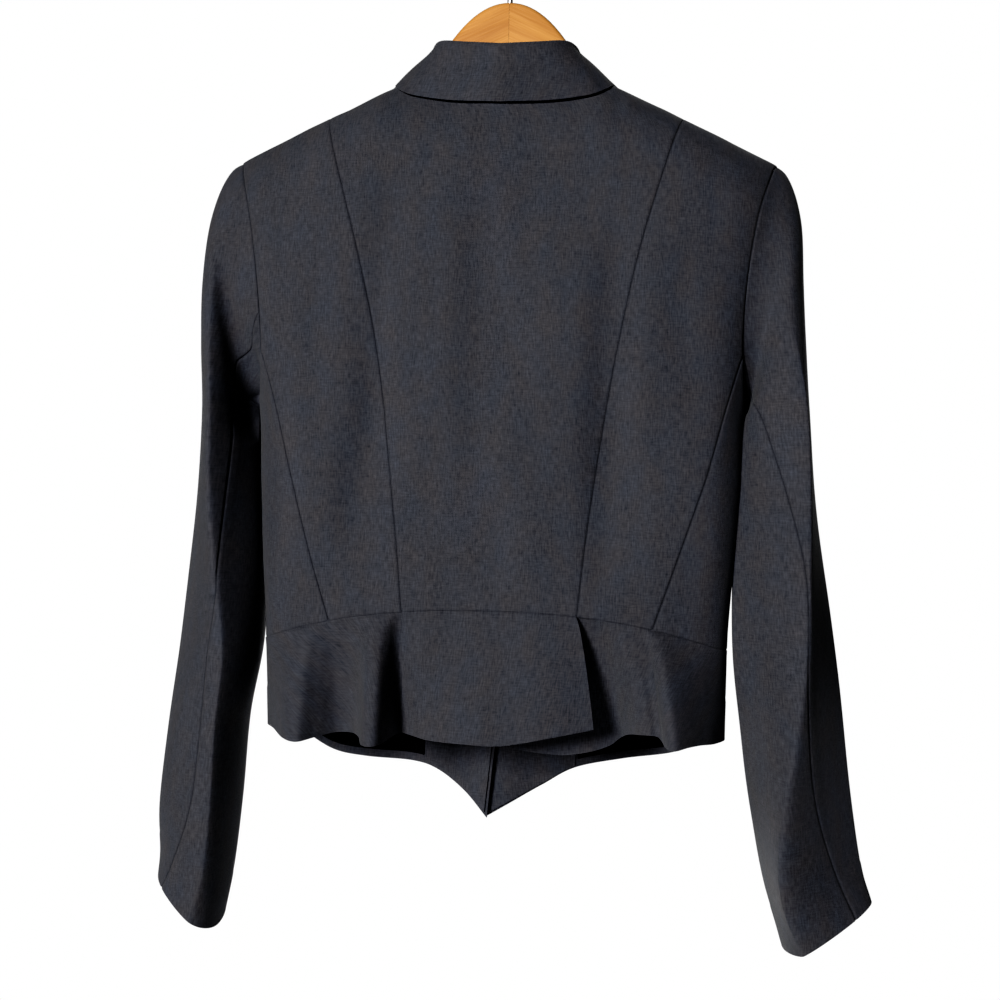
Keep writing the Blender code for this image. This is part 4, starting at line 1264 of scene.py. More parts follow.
@dataclass
class Bodice:
    """The panels of the back and sides, the fronts and their lapels."""

    form: BodyForm
    lapel_top: float = 0.085
    lapel_foot: float = 0.93
    lapel_foot_width: float = 0.003
    lapel_corner: tuple[float, float] = (0.124, -0.2010)
    lapel_swell: float = 0.010
    lapel_lie: float = 0.0030
    lapel_roll_columns: int = 9
    side_radius: float = 0.06
    armhole_rows: int = 72
    princess_fade: float = 0.050
    back_length: float = 0.40
    back_crowding: float = 1.3
    flank_width: float = 0.09
    front_width: float = 0.16
    side_length: float = 0.21
    under_arm_size: tuple[float, float] = (0.10, 0.20)
    lapel_size: tuple[float, float] = (0.07, 0.30)
    lapel_thickness: float = 0.0010
    hem_power: int = 4

    def build(self, hang: Sequence[Object]) -> None:
        """Build every panel of the bodice.

        Args:
            hang: What the bodice hangs on.
        """
        self.back_center().build(hang)
        for side in Side:
            for cloth in (self.back_side(side), self.side_panel(side), self.front(side), self.lapel(side)):
                cloth.build(hang)

    def back_center(self) -> Cloth:
        """The middle of the back, from the neck and shoulders to the waist seam.

        Returns:
            The panel.
        """
        form = self.form
        width = float(form.princess(PRINCESS[0].level))
        close = width - np.array((0.0, *EDGE_STEPS))
        half = np.concatenate([close, np.linspace(close[-1], 0.0, int(width / GRID_STEP))[1:]])
        top_x = np.concatenate([-half, half[-2::-1]])[None, :]
        share = lines(self.back_length)[:, None] ** self.back_crowding
        u = top_x / width
        bottom = form.waist_level(u * form.princess(form.waist_back) / form.waist_half()) + SEAM / 2
        edge = form.princess(mix(form.shoulder(width), bottom, share))
        x = u * (edge - SEAM / 2)
        z = np.minimum(mix(form.neckline(top_x), bottom, share), form.neckline(x))
        points = form.back(x, z)
        ridge = np.abs(top_x[0]) >= form.neck_half
        top_out = np.where(ridge[:, None], form.ridge_out(top_x[0]), np.nan)
        return Cloth("back_middle", "back_center", points, from_axis(points), SEWN_ROUND, top_out=top_out,
                     creases=BACK_CREASES, fades=(self.princess_fade, self.princess_fade))

    def armhole_edge(self, front: bool) -> tuple[Array, Array]:
        """Places and levels down an armhole and the seam below it, to the waist.

        Args:
            front: Whether it is the front's edge.

        Returns:
            The places across and the levels.
        """
        form = self.form
        angle = np.linspace(0.0, form.side_seam_angle, self.armhole_rows)
        row = read(ARMHOLE, angle)
        turn, level = form.side_seam(self.low_shares(), front)
        x = np.concatenate([row.front_x if front else row.back_x, form.around(turn, level)[:, 0]])
        return x, np.concatenate([form.armhole_level(angle), level])

    def low_shares(self) -> Array:
        """Shares of the rows below the armhole, down to the waist seam."""
        return lines(self.side_length)[len(EDGE_STEPS):]

    def inner_levels(self, top: float, bottom: float) -> Array:
        """Levels of an inner edge that face the rows of the armhole's edge.

        Args:
            top: The edge's highest level.
            bottom: Its lowest.

        Returns:
            The levels.
        """
        form = self.form
        angle = np.radians(np.linspace(0.0, form.side_seam_angle, self.armhole_rows))
        share = (1.0 - np.cos(angle)) / (1.0 - math.cos(math.radians(form.side_seam_angle)))
        upper = mix(top, form.side_row_level, share)
        return np.concatenate([upper, mix(form.side_row_level, bottom, self.low_shares())])

    def panel(self, surface: Surface, first: tuple[Array, Array], last: tuple[Array, Array],
              width: float, front: bool) -> Array:
        """Points of a panel ruled between two edges.

        Args:
            surface: The skin that the panel lies on.
            first: Places and levels down one edge.
            last: Places and levels down the other.
            width: About how wide the panel is.
            front: Whether it ends at the front of the waist seam.

        Returns:
            Rows of points.
        """
        form = self.form
        gap = np.maximum(np.abs(last[0] - first[0]), SEAM)[:, None]
        u = mix(SEAM / 2 / gap, 1.0 - SEAM / 2 / gap, lines(width)[None, :])
        x = mix(first[0][:, None], last[0][:, None], u)
        z = mix(first[1][:, None], last[1][:, None], u)
        low = np.linspace(0.0, 1.0, len(gap))[:, None] ** self.hem_power
        hem_x, hem_z = mix(first[0][-1], last[0][-1], u), mix(first[1][-1], last[1][-1], u)
        z = z + low * (form.waist_level(hem_x / form.waist_half(), front) + SEAM / 2 - hem_z)
        return surface(x, z)

    def back_side(self, side: Side) -> Cloth:
        """The panel between a princess seam and an armhole.

        Args:
            side: The side that it is on.

        Returns:
            The panel.
        """
        form = self.form
        bottom = float(form.waist_level(form.princess(form.waist_back) / form.waist_half())) + SEAM / 2
        levels = self.inner_levels(PRINCESS[0].level, bottom)
        half = form.princess(levels)
        levels[0] = form.shoulder(half[0])
        points = self.panel(form.back, (half, levels), self.armhole_edge(False), self.flank_width, False)
        return self.shouldered(f"back_flank_{side.word}", f"back_side_{side.word}", points, side)

    def shouldered(self, name: str, node: str, points: Array, side: Side,
                   edges: Edges = SEWN_ROUND) -> Cloth:
        """A panel whose top edge lies along the shoulder's ridge.

        Args:
            name: Its name.
            node: The node that it stands for.
            points: Its points, on the right-hand side.
            side: The side that it is on.
            edges: Its edges.

        Returns:
            The panel.
        """
        placed = on_side(points, side)
        top_out = self.form.ridge_out(placed[0, :, 0])
        behind = points[-1, 0, 1] < 0
        return Cloth(name, node, placed, from_axis(placed), edges, top_out=top_out,
                     creases=BACK_CREASES if behind else FRONT_CREASES,
                     fades=(self.princess_fade if behind else 0.0, 0.0))

    def side_panel(self, side: Side) -> Cloth:
        """The panel under an arm.

        Args:
            side: The side that it is on.

        Returns:
            The panel.
        """
        form = self.form
        angle = mix(form.side_seam_angle, 360 - form.side_seam_angle, lines(self.under_arm_size[0]))
        top = form.armhole(angle)
        half = form.turn_at(top[:, 0], top[:, 2])
        start = np.where(angle > 180, 180 - half, half)
        zero = np.asarray(0.0)
        first, last = (form.side_seam(zero, front)[0] for front in (False, True))
        across = (start - first) / (last - first)
        end = mix(form.side_back_turn, form.side_front_turn, across)
        share = lines(self.under_arm_size[1])[:, None]
        z = mix(top[:, 2] - SEAM / 2, form.waist_turn_level(end) + SEAM / 2, share)
        half_seam = math.degrees(SEAM / 2 / self.side_radius)
        turn = mix(start, end, share**form.side_seam_curve) + half_seam * (1.0 - 2.0 * across)
        points = on_side(form.around(turn, z), side)
        name = f"side_{side.word}"
        return Cloth(f"under_arm_{side.word}", name, points, from_axis(points), SEWN_ROUND,
                     creases=BACK_CREASES)

    def front(self, side: Side) -> Cloth:
        """A front, from the shoulder to the waist seam.

        Args:
            side: The side that it is on.

        Returns:
            The panel.
        """
        form = self.form
        levels = self.inner_levels(form.neck_level, form.waist_front + SEAM / 2)
        free = form.roll_x(levels, form.edge_of(side))
        outer = self.armhole_edge(True)
        points = self.panel(form.front_of(side), (free, levels), outer, self.front_width, True)
        edges = Edges(SEWN, SEWN, FOLDED, SEWN)
        return self.shouldered(f"fore_panel_{side.word}", f"front_{side.word}", points, side, edges)

    def lapel(self, side: Side) -> Cloth:
        """A lapel: the front's own skin, rolled over its free edge and laid back on it.

        Args:
            side: The side that it is on.

        Returns:
            The lapel.
        """
        form, surface, edge = self.form, self.form.front_of(side), self.form.edge_of(side)
        top, foot = (mix(form.neck_level, form.break_level, s) for s in (self.lapel_top, self.lapel_foot))
        share = lines(self.lapel_size[1])[:, None]
        roll_z = mix(top, foot, share)
        tip_x = mix(self.lapel_corner[0], form.roll_x(foot, edge) + self.lapel_foot_width, share)
        tip_x = tip_x + self.lapel_swell * np.sin(math.pi * share)
        tip_z = mix(self.lapel_corner[1], foot, share)
        height = WALL + mix(self.lapel_lie, LAYER, ease(share * 2))[..., None]
        u = lines(self.lapel_size[0])[None, :]
        x, z = mix(form.roll_x(roll_z, edge), tip_x, u), mix(roll_z, tip_z, u)
        out = surface_out(surface, x, z, form.shoulder(x))
        laid = surface(x, z) + out * height
        along = unit(laid[:, 1:2] - laid[:, :1])
        phi = np.linspace(math.pi, 0.0, self.lapel_roll_columns)[None, :-1, None]
        middle = surface(x, z)[:, :1] + out[:, :1] * height / 2
        rolled = middle + (out[:, :1] * np.cos(phi) - along * np.sin(phi)) * height / 2
        points = on_side(np.concatenate([rolled, laid], axis=1), side)
        return Cloth(f"turned_lapel_{side.word}", f"lapel_{side.word}", points, from_axis(points),
                     FOLDED_ROUND, thickness=self.lapel_thickness, lined=False)


@dataclass
class Collar:
    """The collar: a stand on the neck seam, and a fall folded down over it."""

    form: BodyForm
    back_share: float = 4 / 7
    end_level: float = -0.1490
    inset: float = 0.0012
    stand_curve: float = 1.8
    lie: float = 0.0034
    end_lie: float = 0.0008
    shift: float = -0.0020
    arch: float = 0.0012
    length: float = 0.36
    stand_height: float = 0.032
    fall_height: float = 0.055
    fall_step: float = 0.0017

    def build(self, hang: Sequence[Object]) -> None:
        """Build the stand and the fall.

        Args:
            hang: What the collar hangs on.
        """
        share = mix(-1.0, 1.0, lines(self.length))
        seam, fold, edge = self.stations(np.abs(share))
        mirror = spots(np.where(share < 0, -1.0, 1.0), 1.0, 1.0)
        rise = lines(self.stand_height)[None, :, None]
        lean = mix(seam[:, None], fold[:, None], 1.0 - (1.0 - rise) ** self.stand_curve)
        lean[..., 2] = mix(seam[:, None, 2], fold[:, None, 2], rise[..., 0])
        aside = np.array((self.shift, 0.0, 0.0))
        stand = np.swapaxes(lean * mirror[:, None] + aside * rise, 0, 1)
        Cloth("neck_stand", "collar_stand", stand, from_axis(stand), Edges(SEWN, FOLDED, FOLDED, FOLDED),
              lined=False).build(hang)
        out = unit((edge - fold) * np.array((1.0, 1.0, 0.0)))
        bulge = unit(UP + out) * self.arch
        knots = [fold + UP * roll.up + out * roll.out for roll in COLLAR_ROLL]
        knots += [mix(fold, edge, t) + bulge * 4 * t * (1 - t) for t in COLLAR_FALL_SHARES]
        keys, at = np.linspace(0.0, 1.0, len(knots)), lines(self.fall_height, self.fall_step)
        routes = np.stack(knots, axis=-1)
        flat = np.array([[through(keys, axis, at) for axis in station] for station in routes])
        fall = np.transpose(flat, (2, 0, 1)) * mirror[None] + aside
        outward = from_axis(fall) + UP * self.form.neck_depth
        Cloth("collar_leaf", "collar_fall", fall, outward, FOLDED_ROUND, lined=False,
              creases=COLLAR_CREASES).build(hang)

    def stations(self, share: Array) -> tuple[Array, Array, Array]:
        """Neck seam, fold and edge of the collar.

        Args:
            share: Shares of the way from the nape to the front end.

        Returns:
            Points of the seam, of the fold and of the fall's edge.
        """
        form, row = self.form, stepped(COLLAR, share)
        turn = np.radians(90 * np.minimum(share / self.back_share, 1.0))
        behind = spots(
            form.neck_half * np.sin(turn), -form.neck_depth * np.cos(turn),
            form.neck_level - form.nape_drop * np.cos(turn) + SEAM,
        )
        onward = (share - self.back_share) / (1.0 - self.back_share)
        level = mix(form.neck_level, self.end_level, np.maximum(onward, 0.0))
        ahead = form.front(form.roll_x(level, form.right_edge) - self.inset * ease(onward * 4), level)
        ahead[:, 2] += SEAM
        seam = np.where((onward <= 0)[:, None], behind, ahead)
        fold = spots(row.fold_x, row.fold_y, row.fold_z)
        x, z = row.edge_x, np.minimum(row.edge_z, form.shoulder(row.edge_x))
        lift = (WALL + mix(self.lie, self.end_lie, ease(share * 2)))[:, None]
        back = form.back(x, z) + surface_out(form.back, x, z, form.neckline(x)) * lift
        front = form.front(x, z) + surface_out(form.front, x, z, form.shoulder(x)) * lift
        ridge = spots(x, 0.0, form.shoulder(x)) + form.ridge_out(np.maximum(x, SEAM)) * lift
        behind_ridge = mix(back, ridge, ease(row.lies_on * 2)[:, None])
        before_ridge = mix(ridge, front, ease(row.lies_on * 2 - 1)[:, None])
        edge = np.where((row.lies_on < 0.5)[:, None], behind_ridge, before_ridge)
        return seam, fold, edge


@dataclass
class Sleeve:
    """A two-piece sleeve, joined along the hind arm and the fore arm."""

    form: BodyForm
    side: Side
    rings: tuple[SleeveRow, ...]
    creases: tuple[Crease, ...] = ()
    front_crest: float = -0.15
    head_rings: float = 1.5
    ridge: float = 0.12
    tip_angle: float = 24.0
    tip_lap: float = 0.0018
    seam_gap: float = 0.0004
    column: float = 0.0018
    length: float = 0.62
    upper_width: float = 0.17
    under_width: float = 0.12
    axis_x: float = 0.1765
    axis_lean: float = -0.075
    axis_radius: float = 0.048

    def ring(self, station: Array, angle: Array) -> Array:
        """Points of the sleeve in right-hand coordinates.

        Args:
            station: Rings, 0 at the armhole.
            angle: Angles round each ring: 0 outer edge, 90 back, 180 inner edge.

        Returns:
            Points at the rings and angles.
        """
        station, angle = np.broadcast_arrays(station, np.mod(angle, 360.0))
        row = read(self.rings, station)
        behind = angle <= 180
        crest = np.where(behind, row.crest, self.front_crest)
        sine, cosine = np.abs(np.sin(np.radians(angle))), np.cos(np.radians(angle))
        reach = np.abs(cosine)
        along = np.where(cosine > 0, crest + (1 - crest) * reach, crest - (1 + crest) * reach)
        bent = (np.hypot(reach, self.ridge) - self.ridge) / (math.hypot(1.0, self.ridge) - self.ridge)
        full = np.where(behind, mix(sine, 1.0 - bent, row.fold), sine)
        depth = np.where(behind, -row.back, row.front) * full
        outer, inner = spots(row.outer_x, 0.0, row.outer_z), spots(row.inner_x, 0.0, row.inner_z)
        points = (outer + inner) / 2 + (outer - inner) / 2 * along[..., None]
        points[..., 1] += depth - row.swing * ((1.0 - cosine) / 2) ** 3
        tip = np.exp(-((np.minimum(angle, 360.0 - angle) / self.tip_angle) ** 2))
        start = self.form.armhole(angle)
        start[..., 0] += SEAM - self.tip_lap * tip
        onward = 1.0 - (1.0 - np.clip(station / self.head_rings, 0.0, 1.0)) ** 2
        return mix(start, points, onward[..., None])

    def build(self, hang: Sequence[Object]) -> None:
        """Build the upper and the under sleeve.

        Args:
            hang: What the sleeve hangs on.
        """
        station = self.rings[-1].ring * lines(self.length)[:, None]
        seam_angle = self.form.side_seam_angle
        hind = read(self.rings, station).hind
        fore = 360.0 - seam_angle
        step = np.linalg.norm(self.ring(station, hind + 1) - self.ring(station, hind - 1), axis=-1)
        gap = self.seam_gap / np.maximum(step, 1e-6)
        over = lines(self.upper_width, self.column)[None, :]
        upper = np.where(
            over < 0.5, mix(fore - 360.0 + gap, 0.0, over * 2), mix(0.0, hind - gap, over * 2 - 1),
        )
        under = mix(hind + gap, fore - gap, lines(self.under_width, self.column)[None, :])
        row = read(self.rings, station)
        middle = spots((row.outer_x + row.inner_x) / 2, 0.0, (row.outer_z + row.inner_z) / 2)
        edges = Edges(SEWN, TURNED, SEWN, SEWN)
        axis = Axis(self.axis_x * self.side.value, self.axis_lean * self.side.value, self.axis_radius)
        for word, angle in (("upper", upper), ("under", under)):
            points = self.ring(station, angle)
            placed, outward = on_side(points, self.side), on_side(points - middle, self.side)
            name = f"sleeve_{word}_{self.side.word}"
            cloth = Cloth(f"arm_{word}_{self.side.word}", name, placed, outward, edges,
                          creases=self.creases, axis=axis)
            cloth.build(hang)


@dataclass
class Peplum:
    """The flared pieces below the waist seam, with the facings and linings that show inside them."""

    form: BodyForm
    front_start: float = 0.004
    facing_start: tuple[float, float] = (0.565, 0.490)
    facing_end: float = 0.985
    facing_top: float = 0.10
    lining_start: float = 0.03
    lining_gap: float = 0.01
    lining_hem: float = 0.93
    drop: float = 0.10
    flare: float = 0.72
    allowance: float = 0.006
    allowance_lie: float = 0.0019
    allowance_shares: Triple = (1.0, 0.6, 0.25)
    middle_width: float = 0.13
    flute_width: float = 0.26
    flute_step: float = 0.0018
    front_width: float = 0.18
    facing_width: float = 0.06
    lining_width: float = 0.11
    facing_thickness: float = 0.0008
    flatten: float = 0.4

    def build(self, hang: Sequence[Object]) -> None:
        """Build every piece of the peplum.

        Args:
            hang: What the peplum hangs on.
        """
        self.middle().build(hang)
        for side, folds, falls in (
            (Side.LEFT, PEPLUM_LEFT, PEPLUM_FRONT_LEFT),
            (Side.RIGHT, PEPLUM_RIGHT, PEPLUM_FRONT_RIGHT),
        ):
            self.fluted(side, folds).build(hang)
            for cloth in self.pointed(side, falls):
                cloth.build(hang)

    def fall(self, waist: Array, hem: Array) -> Array:
        """Rows of points from the waist to the hem, which flare soon below the waist."""
        share = lines(self.drop)[:, None, None] ** np.array((self.flare, self.flare, 1.0))
        return mix(waist[None], hem[None], share)

    def sewn_in(self, rows: Array, up: Array) -> Array:
        """Rows with the seam allowance that goes on from them, laid inside the piece they are sewn to.

        Args:
            rows: Rows of points, the first of which lies along the seam.
            up: Directions on across the seam, along that row.

        Returns:
            The rows with three more before them.
        """
        into = -unit(from_axis(rows[0], self.flatten)) * self.allowance_lie
        shares, rise = self.allowance_shares, up * self.allowance
        return np.concatenate([[rows[0] + into * share + rise * share**2 for share in shares], rows])

    def middle(self) -> Cloth:
        """The flat middle piece, whose last edge is the pleat's fold.

        Returns:
            The piece.
        """
        form, row = self.form, stepped(PEPLUM_BACK, lines(self.middle_width))
        level = form.waist_level(row.waist_x / form.waist_half()) - SEAM / 2
        points = self.fall(form.back(row.waist_x, level), spots(row.hem_x, row.hem_y, row.hem_z))
        points = self.sewn_in(points, UP)
        edges = Edges(SEWN, TURNED, FOLDED, FOLDED)
        return Cloth("peplum_middle", "peplum_back", points, from_axis(points, self.flatten), edges)

    def fluted(self, side: Side, folds: tuple[FoldRow, ...]) -> Cloth:
        """A side piece with its flutes.

        Args:
            side: The side that it is on.
            folds: Its folds.

        Returns:
            The piece.
        """
        form, row = self.form, stepped(folds, lines(self.flute_width, self.flute_step))
        level = form.waist_turn_level(row.turn)
        waist = form.around(row.turn, level) - form.around_out(row.turn, level) * row.tuck[:, None]
        waist[:, 2] -= SEAM
        points = self.fall(waist, spots(row.hem_x, row.hem_y, row.hem_z))
        for order in (slice(None), slice(None, None, -1)):
            columns = np.swapaxes(points, 0, 1)[order]
            columns = self.sewn_in(columns, unit(columns[0] - columns[1]))
            points = np.swapaxes(columns[order], 0, 1)
        points = on_side(self.sewn_in(points, UP), side)
        edges = Edges(SEWN, TURNED, FOLDED, SEWN)
        name = f"peplum_side_{side.word}"
        return Cloth(f"peplum_flute_{side.word}", name, points, from_axis(points), edges)

    def front_part(self, side: Side, row: FallRow, high: float, low: float) -> Array:
        """Points of a pointed front between two shares of its drop.

        Args:
            side: The side that it is on.
            row: Its lines from the waist to the hem.
            high: The share that the points start at.
            low: The share that they end at.

        Returns:
            Rows of points.
        """
        form = self.form
        half = float(read(BODY, form.waist_side).half_width)
        share = np.minimum(np.abs(row.waist_x) / half, 1.0)
        lift = form.lap_lift(row.waist_x) if side is Side.RIGHT else 0.0
        waist = form.front(row.waist_x, form.waist_level(share, True) - SEAM / 2)
        hem = spots(row.hem_x, row.hem_y, row.hem_z)
        waist[:, 1] += lift
        hem[:, 1] += lift
        return on_side(self.fall(mix(waist, hem, high), mix(waist, hem, low)), side)

    def pointed(self, side: Side, falls: tuple[FallRow, ...]) -> list[Cloth]:
        """A pointed front with its facing and lining.

        Args:
            side: The side that they are on.
            falls: The front's lines from the waist to the hem.

        Returns:
            The three pieces.
        """
        shares = mix(self.front_start, 1.0, lines(self.front_width))
        whole = self.sewn_in(self.front_part(side, stepped(falls, shares), 0.0, 1.0), UP)
        edges = Edges(SEWN, TURNED, SEWN, FOLDED)
        pieces = [Cloth(f"peplum_point_{side.word}", f"peplum_front_{side.word}", whole,
                        from_axis(whole, self.flatten), edges, lined=False)]
        start = self.facing_start[side is Side.RIGHT]
        facing = mix(start + self.lining_gap, self.facing_end, lines(self.facing_width))
        lining = mix(self.lining_start, start, lines(self.lining_width))
        for word, shares, low, finish in (
            ("facing", facing, self.facing_end, WOOL),
            ("lining", lining, self.lining_hem, LINING),
        ):
            face = self.front_part(side, stepped(falls, shares), self.facing_top, low)
            into = -grid_normals(face, from_axis(face, self.flatten))
            face = face + into * (WALL + LAYER)
            name = f"{word}_{side.word}"
            pieces.append(Cloth(f"inner_{name}", name, face, from_axis(face, self.flatten), FOLDED_ROUND,
                                finish, thickness=self.facing_thickness, lined=False))
        return pieces


BACK_CREASES = (
    crease((-0.068, -0.185, 0.014, 0.0), (-0.0725, -0.2284, 0.016, 0.0046),
           (-0.0862, -0.3, 0.018, 0.0074), (-0.0872, -0.372, 0.018, 0.0086),
           (-0.101, -0.4436, 0.017, 0.0068), (-0.107, -0.5, 0.015, 0.0024),
           (-0.109, -0.524, 0.014, 0.0)),
    crease((-0.12, -0.23, 0.04, 0.0), (-0.096, -0.32, 0.046, 0.008), (-0.086, -0.42, 0.044, 0.0076),
           (-0.076, -0.518, 0.034, 0.0)),
    crease((0.087, -0.21, 0.015, 0.0), (0.0855, -0.275, 0.017, 0.0056), (0.0845, -0.34, 0.018, 0.0084),
           (0.083, -0.415, 0.017, 0.0086), (0.0815, -0.48, 0.016, 0.006), (0.08, -0.52, 0.015, 0.0)),
    crease((-0.009, -0.2, 0.017, 0.0), (-0.009, -0.27, 0.02, 0.0036), (-0.01, -0.35, 0.021, 0.0054),
           (-0.0095, -0.43, 0.019, 0.0036), (-0.008, -0.515, 0.017, 0.0)),
    crease((0.164, -0.26, 0.018, 0.0), (0.162, -0.33, 0.021, -0.004), (0.158, -0.42, 0.023, -0.007),
           (0.154, -0.5, 0.02, -0.0036), (0.152, -0.542, 0.018, 0.0)),
    crease((-0.158, -0.26, 0.01, 0.0), (-0.154, -0.32, 0.013, 0.0018), (-0.144, -0.43, 0.013, 0.0014),
           (-0.136, -0.52, 0.011, 0.0)),
)
FRONT_CREASES = (
    crease((0.015, -0.502, 0.006, 0.0), (0.05, -0.494, 0.008, 0.0018), (0.095, -0.478, 0.01, 0.001),
           (0.125, -0.465, 0.01, 0.0), behind=False),
    crease((0.015, -0.508, 0.006, 0.0), (0.05, -0.513, 0.008, 0.0016), (0.1, -0.523, 0.01, 0.0009),
           (0.13, -0.53, 0.01, 0.0), behind=False),
    crease((-0.025, -0.501, 0.006, 0.0), (-0.06, -0.49, 0.008, 0.0017), (-0.105, -0.47, 0.01, 0.0009),
           (-0.135, -0.456, 0.01, 0.0), behind=False),
    crease((-0.026, -0.509, 0.006, 0.0), (-0.065, -0.515, 0.008, 0.0014), (-0.115, -0.524, 0.01, 0.0),
           behind=False),
    crease((0.168, -0.245, 0.008, 0.0), (0.156, -0.29, 0.01, 0.0026), (0.148, -0.34, 0.011, 0.0018),
           (0.146, -0.39, 0.01, 0.0), behind=False),
    crease((-0.167, -0.25, 0.008, 0.0), (-0.155, -0.3, 0.011, 0.0023), (-0.148, -0.35, 0.011, 0.0016),
           (-0.145, -0.395, 0.01, 0.0), behind=False),
)
COLLAR_CREASES = (
    crease((-0.048, -0.112, 0.006, 0.0), (-0.05, -0.123, 0.007, 0.0006), (-0.054, -0.135, 0.007, 0.0)),
    crease((0.03, -0.113, 0.007, 0.0), (0.032, -0.126, 0.008, 0.0005), (0.033, -0.138, 0.008, 0.0)),
)
LEFT_SLEEVE_CREASES = (
    crease((-0.214, -0.245, 0.006, 0.0), (-0.2085, -0.276, 0.007, 0.003),
           (-0.203, -0.2987, 0.008, 0.006), (-0.1914, -0.3439, 0.01, 0.009),
           (-0.1852, -0.3833, 0.011, 0.008), (-0.181, -0.4, 0.01, 0.0)),
    crease((-0.196, -0.456, 0.006, 0.0), (-0.21, -0.466, 0.007, 0.003), (-0.228, -0.469, 0.007, 0.0),
           behind=False),
    crease((-0.195, -0.495, 0.006, 0.0), (-0.212, -0.498, 0.008, 0.004), (-0.233, -0.493, 0.007, 0.0),
           behind=False),
    crease((-0.2, -0.54, 0.006, 0.0), (-0.216, -0.533, 0.007, 0.003), (-0.234, -0.52, 0.007, 0.0),
           behind=False),
    crease((-0.205, -0.25, 0.006, 0.0), (-0.2, -0.3, 0.009, 0.004), (-0.196, -0.35, 0.009, 0.0),
           behind=False),
)
RIGHT_SLEEVE_CREASES = (
    crease((0.196, -0.448, 0.006, 0.0), (0.211, -0.457, 0.007, 0.003), (0.23, -0.458, 0.007, 0.0),
           behind=False),
    crease((0.194, -0.487, 0.006, 0.0), (0.213, -0.493, 0.008, 0.004), (0.237, -0.487, 0.007, 0.0),
           behind=False),
    crease((0.197, -0.532, 0.006, 0.0), (0.216, -0.527, 0.007, 0.003), (0.24, -0.514, 0.007, 0.0),
           behind=False),
    crease((0.206, -0.245, 0.006, 0.0), (0.201, -0.295, 0.009, 0.004), (0.197, -0.345, 0.009, 0.0),
           behind=False),
)


class Workbench:
    """Modelling steps that several hard pieces share."""

    SMOOTH_ANGLE = math.radians(40)

    @staticmethod
    def clear() -> None:
        """Leave edit mode and select nothing."""
        if bpy.context.object and bpy.context.object.mode != "OBJECT":
            bpy.ops.object.mode_set(mode="OBJECT")
        bpy.ops.object.select_all(action="DESELECT")

    @staticmethod
    def edit_all() -> None:
        """Enter edit mode with everything selected."""
        bpy.ops.object.mode_set(mode="EDIT")
        bpy.ops.mesh.select_all(action="SELECT")

    @staticmethod
    def edit_edges() -> None:
        """Enter edit mode with the edges chosen in object mode selected."""
        bpy.context.scene.tool_settings.mesh_select_mode = (False, True, False)
        bpy.ops.object.mode_set(mode="EDIT")

    @staticmethod
    def apply(piece: Object, kind: str, **settings: Any) -> None:
        """Add a modifier and apply it.

        Args:
            piece: The piece that it changes.
            kind: The modifier's type.
            settings: Its settings.
        """
        modifier = piece.modifiers.new(kind.lower(), kind)
        for name, value in settings.items():
            setattr(modifier, name, value)
        bpy.context.view_layer.objects.active = piece
        bpy.ops.object.modifier_apply(modifier=modifier.name)

    @staticmethod
    def bend_wire(route: Sequence[Vector], half: float, roundness: int) -> Object:
        """Bend a round wire with closed ends.

        Args:
            route: Points along its middle.
            half: Half of its thickness.
            roundness: How finely its section is divided.

        Returns:
            The wire, as a mesh.
        """
        Workbench.clear()
        bpy.ops.curve.primitive_nurbs_path_add()
        curve = bpy.context.object.data
        curve.splines.clear()
        spline = curve.splines.new("POLY")
        spline.points.add(len(route) - 1)
        for point, place in zip(spline.points, route):
            point.co = (*place, 1.0)
        curve.bevel_depth, curve.bevel_resolution = half, roundness
        curve.use_fill_caps = True
        bpy.ops.object.convert(target="MESH")
        return bpy.context.object

    @staticmethod
    def settle(piece: Object, name: str, finish: Finish, *nodes: str) -> Object:
        """Name a piece, apply its place, dress it and let it ride.

        Args:
            piece: The modelled piece.
            name: Its name.
            finish: Its finish.
            nodes: Nodes that it stands for.

        Returns:
            The finished piece.
        """
        Workbench.clear()
        piece.select_set(True)
        bpy.context.view_layer.objects.active = piece
        bpy.ops.object.transform_apply(location=True, rotation=True, scale=True)
        bpy.ops.object.shade_smooth_by_angle(angle=Workbench.SMOOTH_ANGLE)
        piece.name = piece.data.name = name
        piece.data.materials.clear()
        piece.data.materials.append(finish.material())
        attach(piece, "root")
        if nodes:
            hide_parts(*nodes)
        LOG.info("%s: %d faces", name, len(piece.data.polygons))
        return piece


